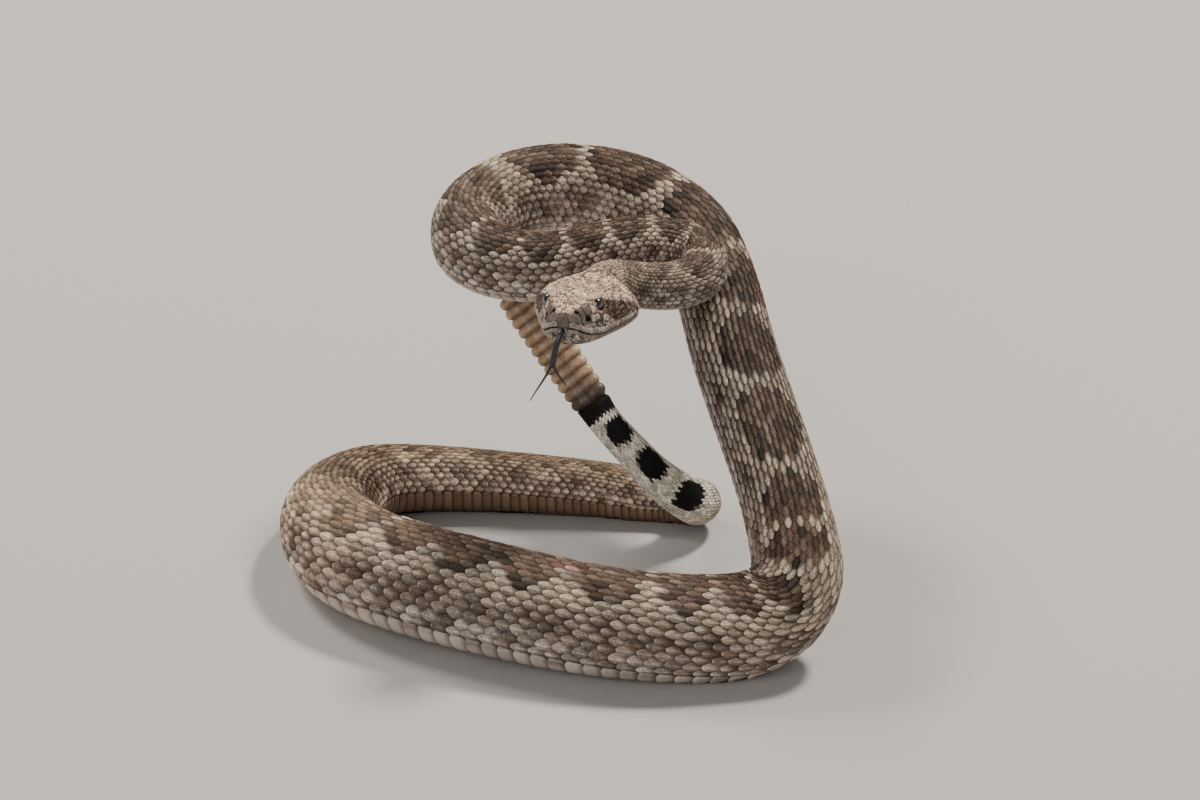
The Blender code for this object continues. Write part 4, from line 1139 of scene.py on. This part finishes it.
def make_eyes():
    # Clear and wet over the painted iris, so that it gives a small sharp highlight.
    material, tree, shader = plain_material("eye", Roughness=0.16, Coat_Weight=1.0, Coat_Roughness=0.03)
    paint = add_node(tree, "ShaderNodeAttribute", attribute_name="pattern_and_shading")
    tree.links.new(paint.outputs["Color"], shader.inputs["Base Color"])
    for name, side in (("eye_left", 1), ("eye_right", -1)):
        mesh = bpy.data.meshes.new(name)
        ball = bmesh.new()
        bmesh.ops.create_uvsphere(ball, u_segments=56, v_segments=40, radius=1.0)
        ball.to_mesh(mesh)
        ball.free()
        local = np.array([vertex.co for vertex in mesh.vertices])
        middle = head_world(np.array([EYE_BACK, side * EYE_OUT, EYE_UP]))
        outward = unit(side * HEAD_LEFT - 0.28 * HEAD_TANGENT + 0.05 * HEAD_UPWARD)
        upward = unit(HEAD_UPWARD - (HEAD_UPWARD @ outward) * outward)
        points = middle + EYE_RADIUS * local @ np.array([np.cross(upward, outward), upward, outward])
        mesh.vertices.foreach_set("co", (points * MM).astype(np.float32).ravel())
        # The iris darkens towards its rim as painted shade of the socket and brow.
        colour = mix(IRIS, HOLLOW_SHADE, ramp(np.hypot(local[:, 0], local[:, 1]), 0.15, 0.8))
        colour[np.hypot(local[:, 0] / SLIT_HALF_WIDTH, local[:, 1] / SLIT_HALF_HEIGHT) < 1] = 0.01
        colour[local[:, 2] < 0.1] = 0.03
        put_on(mesh, material, "eye", [name], colour)


make_eyes()

# The tongue
# Black and moist: a flat stem out of the notch in the lips, forked into two fine tines.
TONGUE_BLACK = hex_colour("1D1B1F")
STEM_HALF_WIDTH, STEM_HALF_THICK = 1.3, 0.6


def bezier(points, count):
    p0, p1, p2, p3 = points
    t = np.linspace(0, 1, count)[:, None]
    return (1 - t) ** 3 * p0 + 3 * (1 - t) ** 2 * t * p1 + 3 * (1 - t) * t**2 * p2 + t**3 * p3


def swept(path, wide, thin, sides):
    """Rings of points along a path, flat across X."""
    tangents = unit(np.gradient(path, axis=0))
    across = np.array([1.0, 0.0, 0.0])
    sideways = unit(across - dot(tangents, across) * tangents)
    normal = np.cross(tangents, sideways)
    angles = np.arange(sides)[:, None] * 2 * math.pi / sides
    rings = path[:, None] + np.cos(angles) * (wide[:, None] * sideways)[:, None]
    return (rings + np.sin(angles) * (thin[:, None] * normal)[:, None]).reshape(-1, 3)


def tube_faces(rings, sides):
    """The quads of a tube, and the triangles that close its two ends."""
    k = np.arange(1, sides - 1)
    last = (rings - 1) * sides
    ends = [np.stack([0 * k, k + 1, k], -1), last + np.stack([0 * k, k, k + 1], -1)]
    return ring_quads(rings, sides), np.vstack(ends)


def make_tongue():
    root, lip = head_world(np.array([[1.6, 0.0, -0.6], [-1.6, 0.0, -0.9]]))
    fork = root + np.array([-5.2, -4.6, -17.0])
    stem = bezier((root, 2 * lip - root, fork + np.array([0.8, -0.6, 9.0]), fork), 30)
    grow = np.interp(np.linspace(0, 1, 30), [0, 0.7, 0.96, 1], [1.0, 1.0, 1.1, 0.9])
    lengths = [(stem, STEM_HALF_WIDTH * grow, STEM_HALF_THICK * grow, 14)]
    for side, reach in ((-1, (-9.7, -1.0, -15.6)), (1, (6.0, 0.5, -9.0))):
        start = fork + np.array([side * 0.62, 0.0, 1.2])
        tip = fork + np.array(reach)
        bend = start + np.array([side * 0.8, 0.0, -4.0])
        tine = bezier((start, bend, start + 0.6 * (tip - start), tip), 24)
        wide = np.linspace(0.72, 0.22, 24)
        lengths.append((tine, wide, wide * 0.75, 10))
    points, quads, tris = [], [], []
    first = 0
    for path, wide, thin, sides in lengths:
        points.append(swept(path, wide, thin, sides))
        tube, ends = tube_faces(len(path), sides)
        quads.append(first + tube)
        tris.append(first + ends)
        first += len(points[-1])
    # Moist and nearly black, with a satin highlight along the stem.
    colour = (*to_linear(TONGUE_BLACK), 1)
    material, _, _ = plain_material("tongue", Base_Color=colour, Roughness=0.32)
    piece(
        "tongue", np.vstack(points), np.vstack(quads), np.vstack(tris), material, "tongue",
        nodes=["tongue"],
    )


make_tongue()

# The rattle
# Twelve horn segments, each gripping the last, with a groove down both flat sides. The first is
# the live, dark one, and the older ones behind it are dry. Pale bands along their narrow edges and
# round their middles are painted highlights, and the grooves are darkened as painted shade.
HORN = hex_colour("8C6F55")
HORN_HIGHLIGHT = hex_colour("CDB08C")
HORN_GROOVE_SHADE = hex_colour("4F3A2C")
HORN_BASE = hex_colour("3A2E28")
RATTLE_END = np.array([-38.5, 88.0, 107.2])
RATTLE_SEGMENTS = 12
RATTLE_PITCH = 5.05
RATTLE_HALF_HEIGHT = 10.1
RATTLE_HALF_WIDTH = 4.9
RATTLE_SIDES = 72
SEGMENT_RINGS = 14
SEAM = 0.3


def make_rattle():
    place, _, back, _ = (part[0] for part in route_frame(np.array([TAIL_TIP])))
    axis = unit(RATTLE_END - place)
    tall = unit(back - (back @ axis) * axis)
    angles = np.arange(RATTLE_SIDES) * 2 * math.pi / RATTLE_SIDES
    up, out = np.cos(angles), np.sin(angles)
    lobe = 1 - 0.2 * bump(up, 0.2) + 0.05 * bump(np.abs(up) - 0.45, 0.2)
    # Rings by distance, share of the full size, shape of the flat sides, and tone. The base is
    # held inside the end of the tail.
    rings = [(-1.6, 0.45, 1.0, HORN_BASE), (-1.5, 0.70, 1.0, HORN_BASE)]
    for segment in range(RATTLE_SEGMENTS):
        size = float(np.interp(segment, [0, 2, 5, 10, 12], [0.91, 0.95, 1.0, 1.0, 0.93]))
        base_dark = np.interp(segment, [0, 1, 2], [0.8, 0.28, 0.0])
        for phase in np.arange(SEGMENT_RINGS) / SEGMENT_RINGS:
            reach = (segment + phase) * RATTLE_PITCH + SEAM
            share = size * (0.83 + 0.17 * math.sin(math.pi * phase) ** 0.7)
            tone = HORN * RNG.uniform(0.94, 1.06)
            # Painted highlights along the narrow edges and round the middle of each segment, and painted
            # shade in the joins and down the groove of the flat sides.
            tone = mix(tone, HORN_HIGHLIGHT, 0.55 * bump(np.abs(up) - 1, 0.25) + 0.3 * bump(phase - 0.45, 0.2))
            tone = mix(tone, HORN_GROOVE_SHADE, 0.7 * bump(min(phase, 1 - phase), 0.13) + 0.22 * bump(up, 0.14))
            rings.append((reach, share, lobe, mix(tone, HORN_BASE, base_dark)))
    end = RATTLE_SEGMENTS * RATTLE_PITCH + SEAM
    rings += [(end, 0.7, 1.0, HORN), (end + 0.7, 0.35, 1.0, HORN)]
    points, colours = [], []
    for reach, share, shape, tone in rings:
        ring = np.outer(up * RATTLE_HALF_HEIGHT * share, tall)
        ring = ring + np.outer(out * RATTLE_HALF_WIDTH * share * shape, np.cross(axis, tall))
        points.append(place - FOOT_MIDDLE + reach * axis + ring)
        colours.append(np.broadcast_to(tone, ring.shape))
    piece(
        "rattle", np.vstack(points), *tube_faces(len(rings), RATTLE_SIDES),
        # Dry horn, a little see-through in life, here with its satin shine and streaked grain.
        skin_material("rattle_horn", 0.4, 1.5, 0.26, 0.06, 0.45), "rattle", nodes=["rattle"],
        colour=np.vstack(colours),
    )


make_rattle()


# Floor, light and camera
# A plain pale floor, soft light from behind and above at the right, and the photo's viewpoint,
# worked out from the size of the animal in the frame.
FLOOR_GREY = hex_colour("ADAAA6")
FLOOR_HALF = 6.0
CAMERA_FAR = 4.0
CAMERA_ABOVE = math.radians(27)
FRAME_WIDTH = 1200 * 0.44 * MM
AIM_HEIGHT = 0.097
SENSOR = 36.0


def make_floor():
    mesh = bpy.data.meshes.new("floor")
    sheet = bmesh.new()
    bmesh.ops.create_grid(sheet, x_segments=1, y_segments=1, size=FLOOR_HALF)
    sheet.to_mesh(mesh)
    sheet.free()
    # Flat paint, pale and without shine.
    paint, _, _ = plain_material("floor_paint", Base_Color=(*to_linear(FLOOR_GREY), 1), Roughness=0.9)
    mesh.materials.append(paint)
    floor = bpy.data.objects.new("floor", mesh)
    bpy.context.scene.collection.objects.link(floor)


def aim(thing, place, target):
    """Stands a light or camera at a place and turns it to its target."""
    forward = unit(np.array(target, float) - np.array(place, float))
    side = unit(np.cross(forward, np.array([0, 0, 1.0])))
    turned = np.array([side, np.cross(side, forward), -forward]).T
    thing.location = place
    thing.rotation_mode = "QUATERNION"
    thing.rotation_quaternion = Matrix(turned.tolist()).to_quaternion()


def add_light(name, place, size, power, colour):
    lamp = bpy.data.lights.new(name, "AREA")
    lamp.shape = "DISK"
    lamp.size = size
    lamp.energy = power
    lamp.color = colour
    thing = bpy.data.objects.new(name, lamp)
    bpy.context.scene.collection.objects.link(thing)
    aim(thing, place, (0, 0, 0.08))


def set_camera():
    lens = bpy.data.cameras.new("camera")
    lens.sensor_width = SENSOR
    lens.lens = SENSOR * CAMERA_FAR / FRAME_WIDTH
    camera = bpy.data.objects.new("camera", lens)
    bpy.context.scene.collection.objects.link(camera)
    target = np.array([0, 0, AIM_HEIGHT]) - FOOT_MIDDLE * MM
    aim(camera, target + CAMERA_FAR * np.array([0, -math.cos(CAMERA_ABOVE), math.sin(CAMERA_ABOVE)]), target)
    bpy.context.scene.camera = camera


make_floor()
add_light("high_sun", (1.1, 0.8, 2.3), 0.45, 88, (1.0, 0.95, 0.88))
add_light("high_left", (-1.3, 1.1, 1.9), 0.8, 46, (1.0, 0.96, 0.9))
add_light("soft_front", (-1.0, -2.4, 1.4), 2.4, 42, (1.0, 0.98, 0.95))
world = bpy.data.worlds.new("soft_sky")
world.use_nodes = True
world.node_tree.nodes["Background"].inputs["Color"].default_value = (0.96, 0.96, 1.0, 1)
world.node_tree.nodes["Background"].inputs["Strength"].default_value = 0.25
bpy.context.scene.world = world
set_camera()
